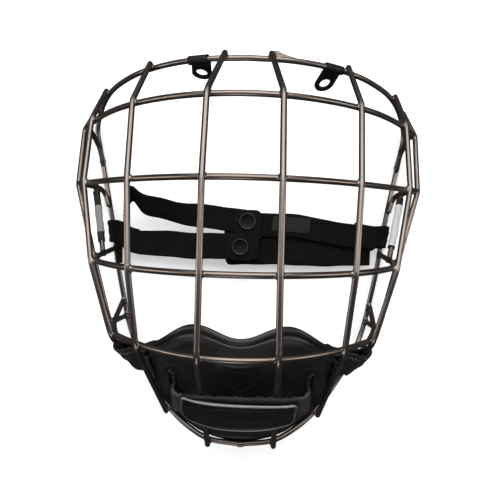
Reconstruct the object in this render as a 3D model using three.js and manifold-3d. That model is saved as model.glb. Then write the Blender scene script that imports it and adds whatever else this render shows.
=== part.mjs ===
// Ice hockey face cage with its chin cup and harness straps, lying face up on the back of its rim.
// Millimetres. X runs across the face, +Y towards the forehead, +Z out of the face, floor at Z = 0.
import * as THREE from 'three';
import { mergeVertices } from 'three/addons/utils/BufferGeometryUtils.js';
import Module from 'manifold-3d';

const wasm = await Module();
wasm.setup();

// Driving dimensions.
const WIRE_R = 1.5;            // steel wire, 3 mm thick
const WIRE_SIDES = 8;
const WELD_SINK = 0.5;         // how far two crossing wires melt into each other
const END_STUB = 2;            // free length of a vertical past the wire it ends on, at the top
const FOOT_STUB = 3.2;         // and at the bottom
const BEND_R = 9;              // inside radius of the ordinary bends
const BEAD_R = 1.9;            // butt weld that closes the rim
const BEAD_LENGTH = 4;
const BUTT_GAP = 0.3;
const GAP = 0.3;               // between pieces that touch on the real thing

const CLIP_GAP = 0.45;         // running clearance of a helmet clip round the wire
const CLIP_WALL = 0.7;         // coated strip
const CLIP_WIDTH = 11;
const TAB_REACH = 10.2;         // wire to screw hole
const TAB_WALL = 1.5;
const TAB_END_R = 5.6;
const HOLE_R = 3;

const STRAP_WIDTH = 14.5;      // harness webbing
const STRAP_WALL = 1.4;
const LOOP_SHARE = 0.86;       // the webbing bunches a little where it goes round the rim
const LOOP_Y = -6.8;
const SNAP_R = 4.5;
const SNAP_HEIGHT = 2.2;

const CUP_WALL = 5;            // chin cup, plastic shell on foam
const CUP_EDGE_WALL = 2.6;
const SLOT = { u: 0.755, v: 0.53, width: 4, length: 21 };
const CHIN_STRAP_WIDTH = 19;
const CHIN_STRAP_RISE = 5.2;   // its middle over the nameplate's
const CHIN_STRAP_WALL = 1.5;
const PLATE = { width: 56, top: 13.5, bottom: -18, wall: 2.2, bow: 1.8 };

const v3 = (x, y, z) => new THREE.Vector3(x, y, z);
const mirrored = (points, side) => points.map((p) => v3(side * p.x, p.y, p.z));

// ---------------------------------------------------------------- wire routes

// The rim is one closed wire. Half of it, from the brow round the temple and the jaw to the chin.
const RIM = [
  // x, y, z
  [0, 83, 82.5], [20, 83, 79], [38, 82.5, 71], [56, 81, 58], [70, 79.3, 41], [82.7, 75.7, 22],
  [90.6, 68.4, 9], [94.5, 57, 3.2], [93, 45, 1.6], [90, 30, 2.2], [86, 11, 4.2], [83.5, -3, 4.6],
  [80, -28, 4], [77, -45, 2.4], [74, -60, 1.8], [69, -74, 5], [61, -85, 17], [52, -94, 31],
  [41.5, -104.2, 44], [30.5, -111.7, 52.5], [17.7, -117.5, 58], [0, -119.4, 60],
].map(([x, y, z]) => v3(x, y, z));

// Cross bars, each a parabola in plan whose ends run back along the side of the head.
// y: height on the face; drop: how much lower it is at the sides; front: apex above the floor;
// spread: x squared over spread is the fall; side: half width where the parabola ends;
// back: the route from there to its weld on the rim.
const BARS = [
  { name: 'brow_bar', y: 58.7, drop: 4.5, front: 117.5, spread: 100, side: 95,
    back: [[94.5, 53, 17], [92, 45, 8], [90.5, 37, 4.8]] },
  { name: 'eye_bar', y: 20, drop: -0.8, front: 132.5, spread: 100, side: 94,
    back: [[90.5, 20, 10], [88.5, 17, 6], [86, 9, 6.8]] },
  { name: 'mouth_bar', y: -22, drop: -1.5, front: 137.5, spread: 100, side: 76,
    back: [[80.5, -19, 54], [81.5, -16.5, 6.8]] },
  { name: 'chin_bar', y: -58, drop: 0, front: 140.5, spread: 70, side: 64.5,
    back: [[70, -57, 60], [72.5, -56, 48], [77, -50, 4.6]] },
];

// Uprights. at: the x, or on the side upright the z, where each crosses the four bars.
// top and bottom: the x where it ends on the rim.
const UPRIGHTS = [
  { name: 'centre', axis: 'x', at: [16.8, 16.8, 16.6, 16.6], top: 11.7, bottom: 17.2 },
  { name: 'inner', axis: 'x', at: [54.8, 53.4, 50.9, 47], top: 51.5, bottom: 41.3 },
  { name: 'outer', axis: 'x', at: [85.2, 85.2, 75.5, 64.5], top: 83.5, bottom: 60 },
  { name: 'side', axis: 'z', at: [23, 40, 56, 50], top: 91, bottom: 0 },
];

// The short wire that the side label is folded round, between the backs of two bars.
const LABEL_WIRE = [v3(91.6, 21, 17), v3(80.8, -18.5, 42)];

// A route that ExtrudeGeometry follows point by point, so straight runs take few steps.
class Route extends THREE.Curve {
  constructor(points) {
    super();
    this.points = points;
  }
  getPoint(u, target = v3(0, 0, 0)) {
    const last = this.points.length - 1;
    const i = Math.min(Math.floor(u * last + 1e-6), last - 1);
    return target.lerpVectors(this.points[i], this.points[i + 1], u * last - i);
  }
  getPointAt(u, target) {
    return this.getPoint(u, target);
  }
  getTangentAt(u, target = v3(0, 0, 0)) {
    const i = Math.round(u * (this.points.length - 1));
    const here = this.points[i];
    const back = here.clone().sub(this.points[Math.max(i - 1, 0)]).normalize();
    const ahead = this.points[Math.min(i + 1, this.points.length - 1)].clone().sub(here).normalize();
    return target.copy(back.add(ahead).normalize());
  }
}

function sweep(section, route) {
  return new THREE.ExtrudeGeometry(section, { steps: route.points.length - 1, extrudePath: route });
}

function roundSection(radius, sides) {
  const shape = new THREE.Shape();
  for (let i = 0; i < sides; i += 1) {
    const angle = ((i + 0.5) / sides) * 2 * Math.PI;
    const place = [radius * Math.cos(angle), radius * Math.sin(angle)];
    if (i === 0) shape.moveTo(...place);
    else shape.lineTo(...place);
  }
  shape.closePath();
  return shape;
}

// Rounds every corner of a polyline with a short curve.
function bent(points, radius = BEND_R, turnPerStep = 0.35) {
  const route = [points[0]];
  for (let i = 1; i < points.length - 1; i += 1) {
    const [a, b, c] = [points[i - 1], points[i], points[i + 1]];
    const toA = a.clone().sub(b);
    const toC = c.clone().sub(b);
    const turn = Math.PI - toA.angleTo(toC);
    if (turn < 0.03) {
      route.push(b);
      continue;
    }
    const cut = Math.min(radius * Math.tan(turn / 2), toA.length() * 0.45, toC.length() * 0.45);
    const start = b.clone().addScaledVector(toA.normalize(), cut);
    const end = b.clone().addScaledVector(toC.normalize(), cut);
    const curve = new THREE.QuadraticBezierCurve3(start, b, end);
    route.push(...curve.getPoints(Math.max(1, Math.ceil(turn / turnPerStep))));
  }
  route.push(points[points.length - 1]);
  return route;
}

function smooth(points, steps) {
  return new THREE.CatmullRomCurve3(points, false, 'centripetal').getPoints(steps);
}

// Right half of a cross bar, from the middle of the face to its end on the rim.
function barHalf(bar) {
  const steps = 7;
  const front = [];
  for (let i = 0; i <= steps; i += 1) {
    const x = (bar.side * i) / steps;
    const y = bar.y - bar.drop * (i / steps) ** 6;
    front.push(v3(x, y, bar.front - (x * x) / bar.spread));
  }
  const corner = front.pop();
  const back = bar.back.map(([x, y, z]) => v3(x, y, z));
  return [...front, ...bent([front[steps - 1], corner, ...back]).slice(1)];
}

function barRoute(bar) {
  const half = barHalf(bar);
  return [...mirrored(half, -1).reverse(), ...half.slice(1)];
}

const rimHalf = smooth(RIM, 48);

// The first point of a route with the given coordinate, on the part of it that passes the test.
function crossingAt(route, axis, value, test = () => true) {
  for (let i = 1; i < route.length; i += 1) {
    const [a, b] = [route[i - 1], route[i]];
    if ((a[axis] - value) * (b[axis] - value) > 0 || !test(a)) continue;
    const t = (value - a[axis]) / (b[axis] - a[axis] || 1);
    return { place: a.clone().lerp(b, t), along: b.clone().sub(a).normalize() };
  }
  throw new Error(`no crossing at ${axis} ${value}`);
}

// Moves a crossing outwards so that the upright lies on top of the bar it is welded to.
function onTop(crossing, upright) {
  const out = crossing.along.clone().cross(upright).normalize();
  const middle = v3(0, -15, 40);
  if (out.dot(crossing.place.clone().sub(middle)) < 0) out.negate();
  return crossing.place.clone().addScaledVector(out, 2 * WIRE_R - WELD_SINK);
}

function uprightRoute(upright) {
  const isSide = upright.name === 'side';
  const crossings = [crossingAt(rimHalf, 'x', upright.top, (p) => p.y > 60)];
  BARS.forEach((bar, i) => crossings.push(crossingAt(barHalf(bar), upright.axis, upright.at[i])));
  if (!isSide) crossings.push(crossingAt(rimHalf, 'x', upright.bottom, (p) => p.y < -70));
  const points = crossings.map((crossing, i) => {
    const above = crossings[Math.max(i - 1, 0)].place;
    const below = crossings[Math.min(i + 1, crossings.length - 1)].place;
    return onTop(crossing, below.clone().sub(above).normalize());
  });
  const stub = (from, through, length) => through.clone().sub(from).setLength(length).add(through);
  points.unshift(stub(points[1], points[0], END_STUB));
  const last = points.length - 1;
  if (isSide) points.push(v3(75.5, -59, 4.4));
  else points.push(stub(points[last - 1], points[last], FOOT_STUB));
  return bent(points);
}

// ---------------------------------------------------------------- solids

function solidOf(geometry) {
  const bare = geometry.clone();
  bare.deleteAttribute('normal');
  bare.deleteAttribute('uv');
  const merged = mergeVertices(bare, 1e-4);
  const mesh = new wasm.Mesh({
    numProp: 3,
    vertProperties: new Float32Array(merged.attributes.position.array),
    triVerts: new Uint32Array(merged.index.array),
  });
  return new wasm.Manifold(mesh);
}

function geometryOf(solid) {
  const mesh = solid.getMesh();
  const geometry = new THREE.BufferGeometry();
  geometry.setAttribute('position', new THREE.BufferAttribute(mesh.vertProperties.slice(), 3));
  geometry.setIndex(new THREE.BufferAttribute(mesh.triVerts.slice(), 1));
  return geometry;
}

// A unit box cut into a grid, each of whose corners goes where place() puts it.
function mapped(across, along, through, place) {
  const geometry = new THREE.BoxGeometry(1, 1, 1, across, along, through);
  const corners = geometry.attributes.position;
  for (let i = 0; i < corners.count; i += 1) {
    const p = place(corners.getX(i), corners.getY(i), corners.getZ(i));
    corners.setXYZ(i, p.x, p.y, p.z);
  }
  return geometry;
}

// Turns a geometry into the frame with the given axes and origin.
function placed(geometry, x, y, z, origin) {
  const frame = new THREE.Matrix4().makeBasis(x, y, z).setPosition(origin);
  return geometry.applyMatrix4(frame);
}

const round = roundSection(WIRE_R, WIRE_SIDES);
const wire = (points) => solidOf(sweep(round, new Route(points)));

// The rim's two ends meet at the middle of the chin, in a short bead.
function rimLoop() {
  const chin = rimHalf[rimHalf.length - 1];
  const half = rimHalf.slice(0, -1);
  const end = v3(BUTT_GAP, chin.y, chin.z);
  const right = [...half, end];
  return [...mirrored(right, -1).reverse(), ...right.slice(1)];
}

function buttWeld() {
  const chin = rimHalf[rimHalf.length - 1];
  const ends = [v3(-BEAD_LENGTH / 2, chin.y, chin.z), v3(BEAD_LENGTH / 2, chin.y, chin.z)];
  return solidOf(sweep(roundSection(BEAD_R, WIRE_SIDES), new Route(ends)));
}

function wireCage() {
  const wires = [wire(rimLoop()), buttWeld()];
  for (const bar of BARS) wires.push(wire(barRoute(bar)));
  for (const side of [-1, 1]) {
    for (const upright of UPRIGHTS) wires.push(wire(mirrored(uprightRoute(upright), side)));
    wires.push(wire(mirrored(LABEL_WIRE, side)));
  }
  return wires.reduce((all, next) => all.add(next));
}


// ---------------------------------------------------------------- helmet clips

// side: which half of the brow; x: place on the rim; tilt: from hanging straight down, in degrees;
// lean: screw hole outwards of the middle of the wrap
const CLIPS = [
  { name: 'clip_left', side: -1, x: 25.4, tilt: 22, lean: 2.8 },
  { name: 'clip_right', side: 1, x: 44.5, tilt: 32, lean: 1 },
];

// The clip's place on the rim, the wire's direction there, the way its tab points, and its face.
function clipFrame(clip) {
  const onBrow = (x) => crossingAt(rimHalf, 'x', x, (p) => p.y > 60).place;
  const [near, middle, far] = [-1, 0, 1].map((end) => onBrow(clip.x + (end * CLIP_WIDTH) / 2));
  const chord = far.clone().sub(near).normalize();
  const { x, y, z } = near.add(far).multiplyScalar(0.5).lerp(middle, 0.5);
  const origin = v3(clip.side * x, y, z);
  const axis = v3(chord.x, clip.side * chord.y, clip.side * chord.z);
  const tilt = THREE.MathUtils.degToRad(clip.tilt);
  const tab = v3(0, -Math.sin(tilt), -Math.cos(tilt)).projectOnPlane(axis).normalize();
  return { origin, axis, tab, face: axis.clone().cross(tab) };
}

// Drawn with the wire along X, the tab along Y and its face along Z.
function clipSolid({ side, lean }) {
  const inner = WIRE_R + CLIP_GAP;
  const outer = inner + CLIP_WALL;
  const ring = roundSection(outer, 20);
  ring.holes.push(new THREE.Path().absarc(0, 0, inner, 0, 2 * Math.PI, true));
  const flat = (depth) => ({ depth, bevelEnabled: false, curveSegments: 10 });
  const wrap = new THREE.ExtrudeGeometry(ring, flat(CLIP_WIDTH));
  wrap.translate(0, 0, -CLIP_WIDTH / 2).rotateY(Math.PI / 2);

  const outline = new THREE.Shape();
  const half = CLIP_WIDTH / 2;
  const root = inner + CLIP_WALL / 2;
  outline.moveTo(-half, root);
  outline.lineTo(half, root);
  outline.absarc(side * lean, TAB_REACH, TAB_END_R, 0, Math.PI, false);
  outline.holes.push(new THREE.Path().absarc(side * lean, TAB_REACH, HOLE_R, 0, 2 * Math.PI, true));
  const tab = new THREE.ExtrudeGeometry(outline, flat(TAB_WALL));
  tab.translate(0, 0, -TAB_WALL / 2);
  return solidOf(wrap).add(solidOf(tab));
}

// ---------------------------------------------------------------- chin cup

// Rows from the bottom to the top of the cup. crest: its middle, edge: its side.
const CUP = [
  // crest y, z, edge x, y, z
  [-116.8, 60, 23.8, -112.2, 53.7], [-105, 75, 37, -104, 48.2], [-93, 88, 46, -94, 49.6],
  [-81, 98.5, 48, -83, 57], [-68, 106, 49.5, -73, 66], [-55, 108, 48.5, -64, 75],
];
const CUP_LOBE = 8;            // height of the two lobes of the top edge over its middle
const cupCrest = new THREE.CatmullRomCurve3(CUP.map(([y, z]) => v3(0, y, z)));
const cupEdge = new THREE.CatmullRomCurve3(CUP.map(([, , x, y, z]) => v3(x, y, z)));

// Outer face of the cup, u from -1 at the left to 1 at the right, v from 0 at the bottom to 1.
function cupFace(u, v) {
  const crest = cupCrest.getPoint(v);
  const edge = cupEdge.getPoint(v);
  const w = Math.abs(u);
  const lobe = CUP_LOBE * Math.sin(Math.PI * w) ** 2 * v ** 4;
  const y = crest.y + (edge.y - crest.y) * w ** 2 + lobe;
  const z = crest.z + (edge.z - crest.z) * w ** 2.4;
  return v3(u * edge.x, y, z);
}

function cupNormal(u, v) {
  const step = 0.01;
  const acrossFace = cupFace(u + step, v).sub(cupFace(u - step, v));
  const upFace = cupFace(u, Math.min(v + step, 1)).sub(cupFace(u, Math.max(v - step, 0)));
  return acrossFace.cross(upFace).normalize();
}

// A point of the cup's face, moved out along its normal.
const offCup = (u, v, out) => cupFace(u, v).addScaledVector(cupNormal(u, v), out);

function chinCup() {
  const shell = solidOf(mapped(20, 12, 1, (a, b, c) => {
    const u = 2 * a;
    const wall = CUP_WALL + (CUP_EDGE_WALL - CUP_WALL) * Math.abs(u) ** 4;
    return offCup(u, b + 0.5, (c - 0.5) * wall);
  }));
  return [-1, 1].reduce((cup, side) => cup.subtract(slotCutter(side)), shell);
}

// One slot of the cup: its middle, and the directions sideways, up and out of the cup there.
function slotFrame(side) {
  const place = cupFace(side * SLOT.u, SLOT.v);
  const out = cupNormal(side * SLOT.u, SLOT.v);
  const up = cupFace(side * SLOT.u, SLOT.v + 0.05).sub(cupFace(side * SLOT.u, SLOT.v - 0.05)).normalize();
  return { place, out, up, sideways: up.clone().cross(out).multiplyScalar(side) };
}

function slotCutter(side) {
  const { place, out, up, sideways } = slotFrame(side);
  const cutter = new THREE.BoxGeometry(SLOT.width, SLOT.length, 4 * CUP_WALL);
  return solidOf(placed(cutter, sideways.multiplyScalar(side), up, out, place));
}

// ---------------------------------------------------------------- flat straps

// A strap along a smooth route. Each row holds a place and the direction of the strap's width there,
// whose length is the share of the full width.
function strap(rows, width, wall, steps) {
  const places = new THREE.CatmullRomCurve3(rows.map(([x, y, z]) => v3(x, y, z)), false, 'centripetal');
  const across = new Route(rows.map((row) => v3(...row.slice(3))));
  return mapped(1, steps, 1, (a, b, c) => {
    const t = b + 0.5;
    const wide = across.getPoint(t);
    const out = wide.clone().cross(places.getTangent(t)).normalize();
    return places.getPoint(t).addScaledVector(wide, a * width).addScaledVector(out, c * wall);
  });
}

// Rows round the side of the rim: from below the wire, round its outside, to above it.
function loopRows(side, { place, along }, radius) {
  const turns = 6;
  const rows = [];
  for (let i = 0; i <= turns; i += 1) {
    const angle = -Math.PI / 2 + (Math.PI * i) / turns;
    const x = place.x + radius * Math.cos(angle);
    const z = place.z + radius * Math.sin(angle);
    rows.push([side * x, place.y, z, side * along.x, along.y, along.z]);
  }
  return rows;
}

// ---------------------------------------------------------------- harness straps

// The main strap of each side: a tail under it, the loop round the rim, and the run to the middle.
// run: place and width direction of each further row, for the right side (x, y, z, across).
const MAIN_STRAPS = [
  { name: 'strap_left_lower', side: -1, run: [
    [76, -9, 9.4, 0, 1, 0], [68, -12.6, 10.4, 0, 1, 0], [50, -12.7, 12, 0, 1.1, 0],
    [28, -13.8, 13, 0, 1.1, 0], [8, -13.6, 13.2, 0, 1.08, 0], [-7, -13.8, 13.2, 0, 1, 0],
  ] },
  { name: 'strap_right_upper', side: 1, run: [
    [76, -7.4, 9.2, 0, 1, 0], [64, -5.4, 9.6, 0, 1, 0], [50, -3.6, 10.2, 0, 1, 0],
    [30, -0.6, 11, 0, 1, 0], [12, 0, 11.3, 0, 1, 0], [-14, -0.6, 11.3, 0, 1, 0],
  ] },
];
const LOOP_R = WIRE_R + 2 * GAP + STRAP_WALL / 2;

function mainStrap({ side, run }) {
  const rim = crossingAt(rimHalf, 'y', LOOP_Y, (p) => p.x > 60);
  const { x, z } = rim.place;
  const narrow = rim.along.multiplyScalar(-LOOP_SHARE);
  const loop = loopRows(side, { place: rim.place, along: narrow }, LOOP_R);
  const tail = [side * (x - 6), LOOP_Y, z + 0.6, 0, LOOP_SHARE, 0];
  const rows = run.map(([rx, ry, rz, ...across]) => [side * rx, ry, rz, ...across]);
  const bend = [side * (x - 4), LOOP_Y, z + LOOP_R, 0, LOOP_SHARE, 0];
  return strap([tail, ...loop, bend, ...rows], STRAP_WIDTH, STRAP_WALL, 40);
}

// The left upper strap stands on edge by the loop and turns flat on its way to the middle.
const UPPER_LEFT = [
  [-72.5, -2, 18.8, 0, 0, 0.85], [-72.5, 6, 19, 0, 0.05, 0.85], [-72, 13, 19.2, 0, 0.35, 0.85],
  [-69.5, 16.6, 19, 0, 0.6, 0.8], [-62.8, 10.8, 18, 0, 0.85, 0.5], [-52.8, 8.6, 17, 0, 0.87, 0.5],
  [-42.7, 6.2, 15.6, 0, 0.87, 0.4], [-29.4, 4.7, 14.3, 0, 1, 0.1], [-19, 3.6, 13.5, 0, 1, 0],
  [-12, 2.5, 13.2, 0, 1, 0], [7, 1.4, 13.2, 0, 1, 0],
];
// The right lower strap starts beside the loop. It is wider, and its upper edge lies under the upper strap.
const LOWER_RIGHT = [
  [75.5, -15.7, 6.4, 0, 1.1, 0], [60, -15.9, 7.2, 0, 1.16, 0], [40, -15.9, 8.3, 0, 1.18, 0],
  [16, -15.9, 9.1, 0, 1.18, 0], [0, -15.9, 9.3, 0, 1.18, 0], [-13, -15.9, 9.3, 0, 1.18, 0],
];

const SNAPS = [
  { name: 'snap_upper', x: 0, y: 1.9 },
  { name: 'snap_lower', x: -4, y: -13.6 },
];
const SNAP_Z = 13.2 + STRAP_WALL / 2 + GAP;

// A cap with a raised ring round a shallow dish.
function snapCap() {
  const profile = [
    [0, 0], [SNAP_R, 0], [SNAP_R, 1.2], [SNAP_R - 0.5, SNAP_HEIGHT], [SNAP_R - 1, SNAP_HEIGHT],
    [SNAP_R - 1.4, 1.5], [0, 1.2],
  ].map(([r, z]) => new THREE.Vector2(r, z));
  return new THREE.LatheGeometry(profile, 24).rotateX(Math.PI / 2);
}

// ---------------------------------------------------------------- front strap and nameplate

const CHIN_SLOPE = v3(0, 0.611, 0.792);    // up the lower uprights
const CHIN_OUT = v3(0, -0.792, 0.611);     // out of them
const PLATE_MIDDLE = v3(0, -91.2, 105);
// How the strap turns through a slot (sideways and out of it, from its middle), and then lies
// behind the plate (x, and y and z from the strap's middle).
const STRAP_IN_SLOT = [[-3.6, -7.4], [-1.6, -6.6], [-0.9, -4.9], [-0.9, -1.2], [-1.2, 0.9], [-2.4, 2.6]];
const STRAP_AT_PLATE = [[29.5, -0.4, -8.4], [26, 0.4, -2.6], [20.5, 0, -0.3], [15, 0, 0]];

// In through one slot, over the front of the middle uprights and back through the other.
// Inside the cup the ends lie one over the other, so the strap is a whole loop.
function frontStrap() {
  const inside = CUP_WALL + 6 * GAP + CHIN_STRAP_WALL / 2;
  const front = PLATE_MIDDLE.clone().addScaledVector(CHIN_SLOPE, CHIN_STRAP_RISE)
    .addScaledVector(CHIN_OUT, -PLATE.wall / 2 - GAP - CHIN_STRAP_WALL / 2);
  const row = (p, across) => [p.x, p.y, p.z, across.x, across.y, across.z];
  const half = (side, layer) => {
    const slot = slotFrame(side);
    const deep = inside + layer * (CHIN_STRAP_WALL + GAP);
    const rows = [-0.2, 0.1, 0.35, 0.55, 0.66].map((u) => row(offCup(side * u, SLOT.v, -deep), slot.up));
    for (const [sideways, out] of STRAP_IN_SLOT) {
      const p = slot.place.clone().addScaledVector(slot.sideways, sideways).addScaledVector(slot.out, out);
      rows.push(row(p, slot.up));
    }
    for (const [x, y, z] of STRAP_AT_PLATE) {
      rows.push(row(v3(side * x, front.y + y, front.z + z), CHIN_SLOPE));
    }
    return rows;
  };
  return strap([...half(-1, 1), ...half(1, 0).reverse()], CHIN_STRAP_WIDTH, CHIN_STRAP_WALL, 72);
}

// Its top edge is straight and its bottom edge an arc.
function nameplate() {
  return mapped(14, 4, 1, (a, b, c) => {
    const w = Math.abs(2 * a);
    const up = (0.5 + b) * PLATE.top + (0.5 - b) * PLATE.bottom * (1 - 0.5 * w ** 3);
    const out = c * PLATE.wall - PLATE.bow * w ** 8;
    return PLATE_MIDDLE.clone().add(v3(a * PLATE.width, 0, 0))
      .addScaledVector(CHIN_SLOPE, up).addScaledVector(CHIN_OUT, out);
  });
}

// ---------------------------------------------------------------- side wraps

const WRAP_WIDTH = 24;
const WRAP_WALL = 2;
const WRAP_V = 0.7;            // height on the cup
const WRAP_R = WIRE_R + 2 * GAP + WRAP_WALL / 2;

// A strip from the cup's outer face, round the outer upright's lower leg and back behind the cup.
function sideWrap(side) {
  const leg = uprightRoute(UPRIGHTS[2]);
  const [low, high] = [50, 64].map((z) => crossingAt(leg, 'z', z, (p) => p.y < -50).place);
  const middle = low.clone().lerp(high, 0.5);
  const up = high.clone().sub(low).normalize();
  const edgeUp = cupFace(1, WRAP_V + 0.05).sub(cupFace(1, WRAP_V - 0.05)).normalize();
  const inwards = cupFace(1, WRAP_V).sub(middle).projectOnPlane(up).normalize();
  const outFace = inwards.clone().cross(up);
  const row = (p, across) => [side * p.x, p.y, p.z, side * across.x, across.y, across.z];
  const front = 2.5 * GAP + WRAP_WALL / 2;
  const behind = -CUP_EDGE_WALL - 11 * GAP - WRAP_WALL / 2;
  const onCup = (u, out) => row(offCup(u, WRAP_V, out), edgeUp);
  const onLeg = (out, inward, twist = 0) => {
    const p = middle.clone().addScaledVector(outFace, out).addScaledVector(inwards, inward);
    return row(p, up.clone().lerp(edgeUp, twist).normalize());
  };
  const rows = [0.95, 0.98, 1].map((u) => onCup(u, front));
  rows.push(onLeg(WRAP_R, 8, 0.4), onLeg(WRAP_R, 2));
  const turns = 6;
  for (let i = 0; i <= turns; i += 1) {
    const angle = Math.PI / 2 + (Math.PI * i) / turns;
    rows.push(onLeg(WRAP_R * Math.sin(angle), WRAP_R * Math.cos(angle)));
  }
  rows.push(onLeg(-WRAP_R, 2), onLeg(-WRAP_R, 8, 0.4), onCup(0.98, behind), onCup(0.91, behind));
  return strap(rows, WRAP_WIDTH, WRAP_WALL, 64);
}

// ---------------------------------------------------------------- side labels

const LABEL = { length: 35, flag: 7, wall: 0.8 };

// A vinyl strip folded round the label wire, its two layers hanging together from it.
function sideLabel(side) {
  const [top, bottom] = LABEL_WIRE;
  const along = bottom.clone().sub(top).normalize();
  const middle = top.clone().lerp(bottom, 0.46);
  const hang = v3(0.2, 0, -1).projectOnPlane(along).normalize();
  const out = along.clone().cross(hang);
  const r = WIRE_R + GAP + LABEL.wall / 2;
  const slit = LABEL.wall / 2 + 0.1;
  const row = (hangBy, outBy) => {
    const p = middle.clone().addScaledVector(hang, hangBy).addScaledVector(out, outBy);
    return [side * p.x, p.y, p.z, side * along.x, along.y, along.z];
  };
  const rows = [row(r + LABEL.flag, slit), row(r + 1.5, slit + 0.2)];
  const turns = 8;
  for (let i = 0; i <= turns; i += 1) {
    const angle = 0.35 * Math.PI + (1.3 * Math.PI * i) / turns;
    rows.push(row(r * Math.cos(angle), r * Math.sin(angle)));
  }
  rows.push(row(r + 1.5, -slit - 0.2), row(r + LABEL.flag, -slit));
  return strap(rows, LABEL.length, LABEL.wall, 26);
}

const object = new THREE.Group();

function add(name, geometry, colour, roughness, metalness) {
  const material = new THREE.MeshStandardMaterial({ color: colour, roughness, metalness });
  const mesh = new THREE.Mesh(geometry, material);
  mesh.name = name;
  object.add(mesh);
  return mesh;
}

add('wire_cage', geometryOf(wireCage()), 0x6b5d55, 0.35, 0.9);

for (const clip of CLIPS) {
  const { origin, axis, tab, face } = clipFrame(clip);
  add(clip.name, placed(geometryOf(clipSolid(clip)), axis, tab, face, origin), 0x141414, 0.4, 0.3);
}

add('chin_cup', geometryOf(chinCup()), 0x16171a, 0.5, 0);

for (const main of MAIN_STRAPS) add(main.name, mainStrap(main), 0x131314, 0.9, 0);
add('strap_left_upper', strap(UPPER_LEFT, STRAP_WIDTH, STRAP_WALL, 36), 0x131314, 0.9, 0);
add('strap_right_lower', strap(LOWER_RIGHT, STRAP_WIDTH, STRAP_WALL, 24), 0x131314, 0.9, 0);
for (const snap of SNAPS) {
  add(snap.name, snapCap(), 0x202023, 0.35, 0.2).position.set(snap.x, snap.y, SNAP_Z);
}

add('front_strap', frontStrap(), 0x2a2a2c, 0.95, 0);
add('nameplate', nameplate(), 0x0d0d0e, 0.35, 0.1);
for (const [name, side] of [['left', -1], ['right', 1]]) {
  add(`wrap_${name}`, sideWrap(side), 0x151515, 0.85, 0);
  add(`label_${name}`, sideLabel(side), 0xa8a8a6, 0.5, 0);
}

// The origin is the middle of the box's bottom face.
const extent = new THREE.Box3().setFromObject(object);
const centre = extent.getCenter(v3(0, 0, 0));
object.position.set(-centre.x, -centre.y, -extent.min.z);

export default object;
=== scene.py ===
"""Looks of an ice hockey face cage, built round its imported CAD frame. The tables are in millimetres."""
import math
import random

import bmesh
import bpy
import numpy as np
from mathutils import Euler, Matrix, Vector


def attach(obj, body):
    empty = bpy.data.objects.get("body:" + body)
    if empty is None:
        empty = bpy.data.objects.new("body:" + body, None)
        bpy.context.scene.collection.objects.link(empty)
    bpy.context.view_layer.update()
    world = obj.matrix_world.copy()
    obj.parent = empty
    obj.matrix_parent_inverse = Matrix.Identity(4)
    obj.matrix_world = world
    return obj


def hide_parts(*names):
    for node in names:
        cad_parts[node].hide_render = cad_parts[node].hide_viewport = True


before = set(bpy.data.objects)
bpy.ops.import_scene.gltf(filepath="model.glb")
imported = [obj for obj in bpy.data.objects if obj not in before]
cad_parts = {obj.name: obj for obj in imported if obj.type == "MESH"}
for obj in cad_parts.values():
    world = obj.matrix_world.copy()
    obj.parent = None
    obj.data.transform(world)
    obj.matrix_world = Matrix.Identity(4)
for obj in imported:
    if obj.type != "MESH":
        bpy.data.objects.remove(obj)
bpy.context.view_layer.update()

MM = 0.001
CAGE, LEFT_CLIP, RIGHT_CLIP = "cage", "left_clip", "right_clip"
OFFSET = np.array([0.0, 17.4973, -0.0781])   # from the tables to the object's frame


def vec(x, y, z):
    return np.array([x, y, z], float)


def unit(v):
    return v / np.linalg.norm(v)


def flipped(points, side):
    """Mirrors points left for right when side is -1."""
    return np.asarray(points, float) * [side, 1, 1]


def around(count):
    """Angles all round a circle."""
    return np.linspace(0, 2 * math.pi, count, endpoint=False)


def smooth_step(x, low, high):
    t = np.clip((x - low) / (high - low), 0, 1)
    return t * t * (3 - 2 * t)


def hump(x, width):
    return np.exp(-(x / width) ** 2)


def in_scene(name, data):
    made = bpy.data.objects.new(name, data)
    bpy.context.scene.collection.objects.link(made)
    return made


# ---- camera, light and floor

CAMERA_PLACE = (9.4, 16.32, 425.1)
CAMERA_TURN = (1.99, -1.04, -1.4)   # degrees about X, Y and Z
LENS = 48.9
# name, place, size (width, height), watts
LIGHTS = [
    ("panel", (0, 640, 800), (1500, 900), 15.0),
    ("left", (-900, 20, 260), (220, 700), 2.4),
    ("right", (900, 80, 260), (220, 700), 2.4),
    ("top", (0, 1000, 250), (1200, 400), 1.8),
    ("chin", (-120, -760, 620), (500, 260), 1.6),
]
LIGHT_AIM = (0, 0, 60)
FLOOR_HALF, FLOOR_DROP, FLOOR_GLOW = 3.0, 0.0005, 0.42   # metres, metres and emission strength


def add_camera():
    data = bpy.data.cameras.new("camera")
    data.lens = LENS
    data.sensor_width = 36
    data.clip_start = 0.01
    camera = in_scene("camera", data)
    turn = Euler([math.radians(a) for a in CAMERA_TURN]).to_matrix().transposed().to_4x4()
    camera.matrix_world = Matrix.Translation(Vector(CAMERA_PLACE) * MM) @ turn
    bpy.context.scene.camera = camera


def add_lights():
    for name, place, (width, height), watts in LIGHTS:
        data = bpy.data.lights.new(name, "AREA")
        data.shape = "RECTANGLE"
        data.size, data.size_y = width * MM, height * MM
        data.energy = watts
        light = in_scene(name, data)
        light.location = Vector(place) * MM
        light.rotation_euler = (Vector(LIGHT_AIM) - Vector(place)).to_track_quat("-Z", "Y").to_euler()
    world = bpy.data.worlds.new("studio")
    world.use_nodes = True
    sky = world.node_tree.nodes["Background"].inputs
    sky["Color"].default_value = (0.9, 0.93, 1.0, 1)
    sky["Strength"].default_value = 0.05
    bpy.context.scene.world = world
    bpy.context.scene.view_settings.view_transform = "Standard"


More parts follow.
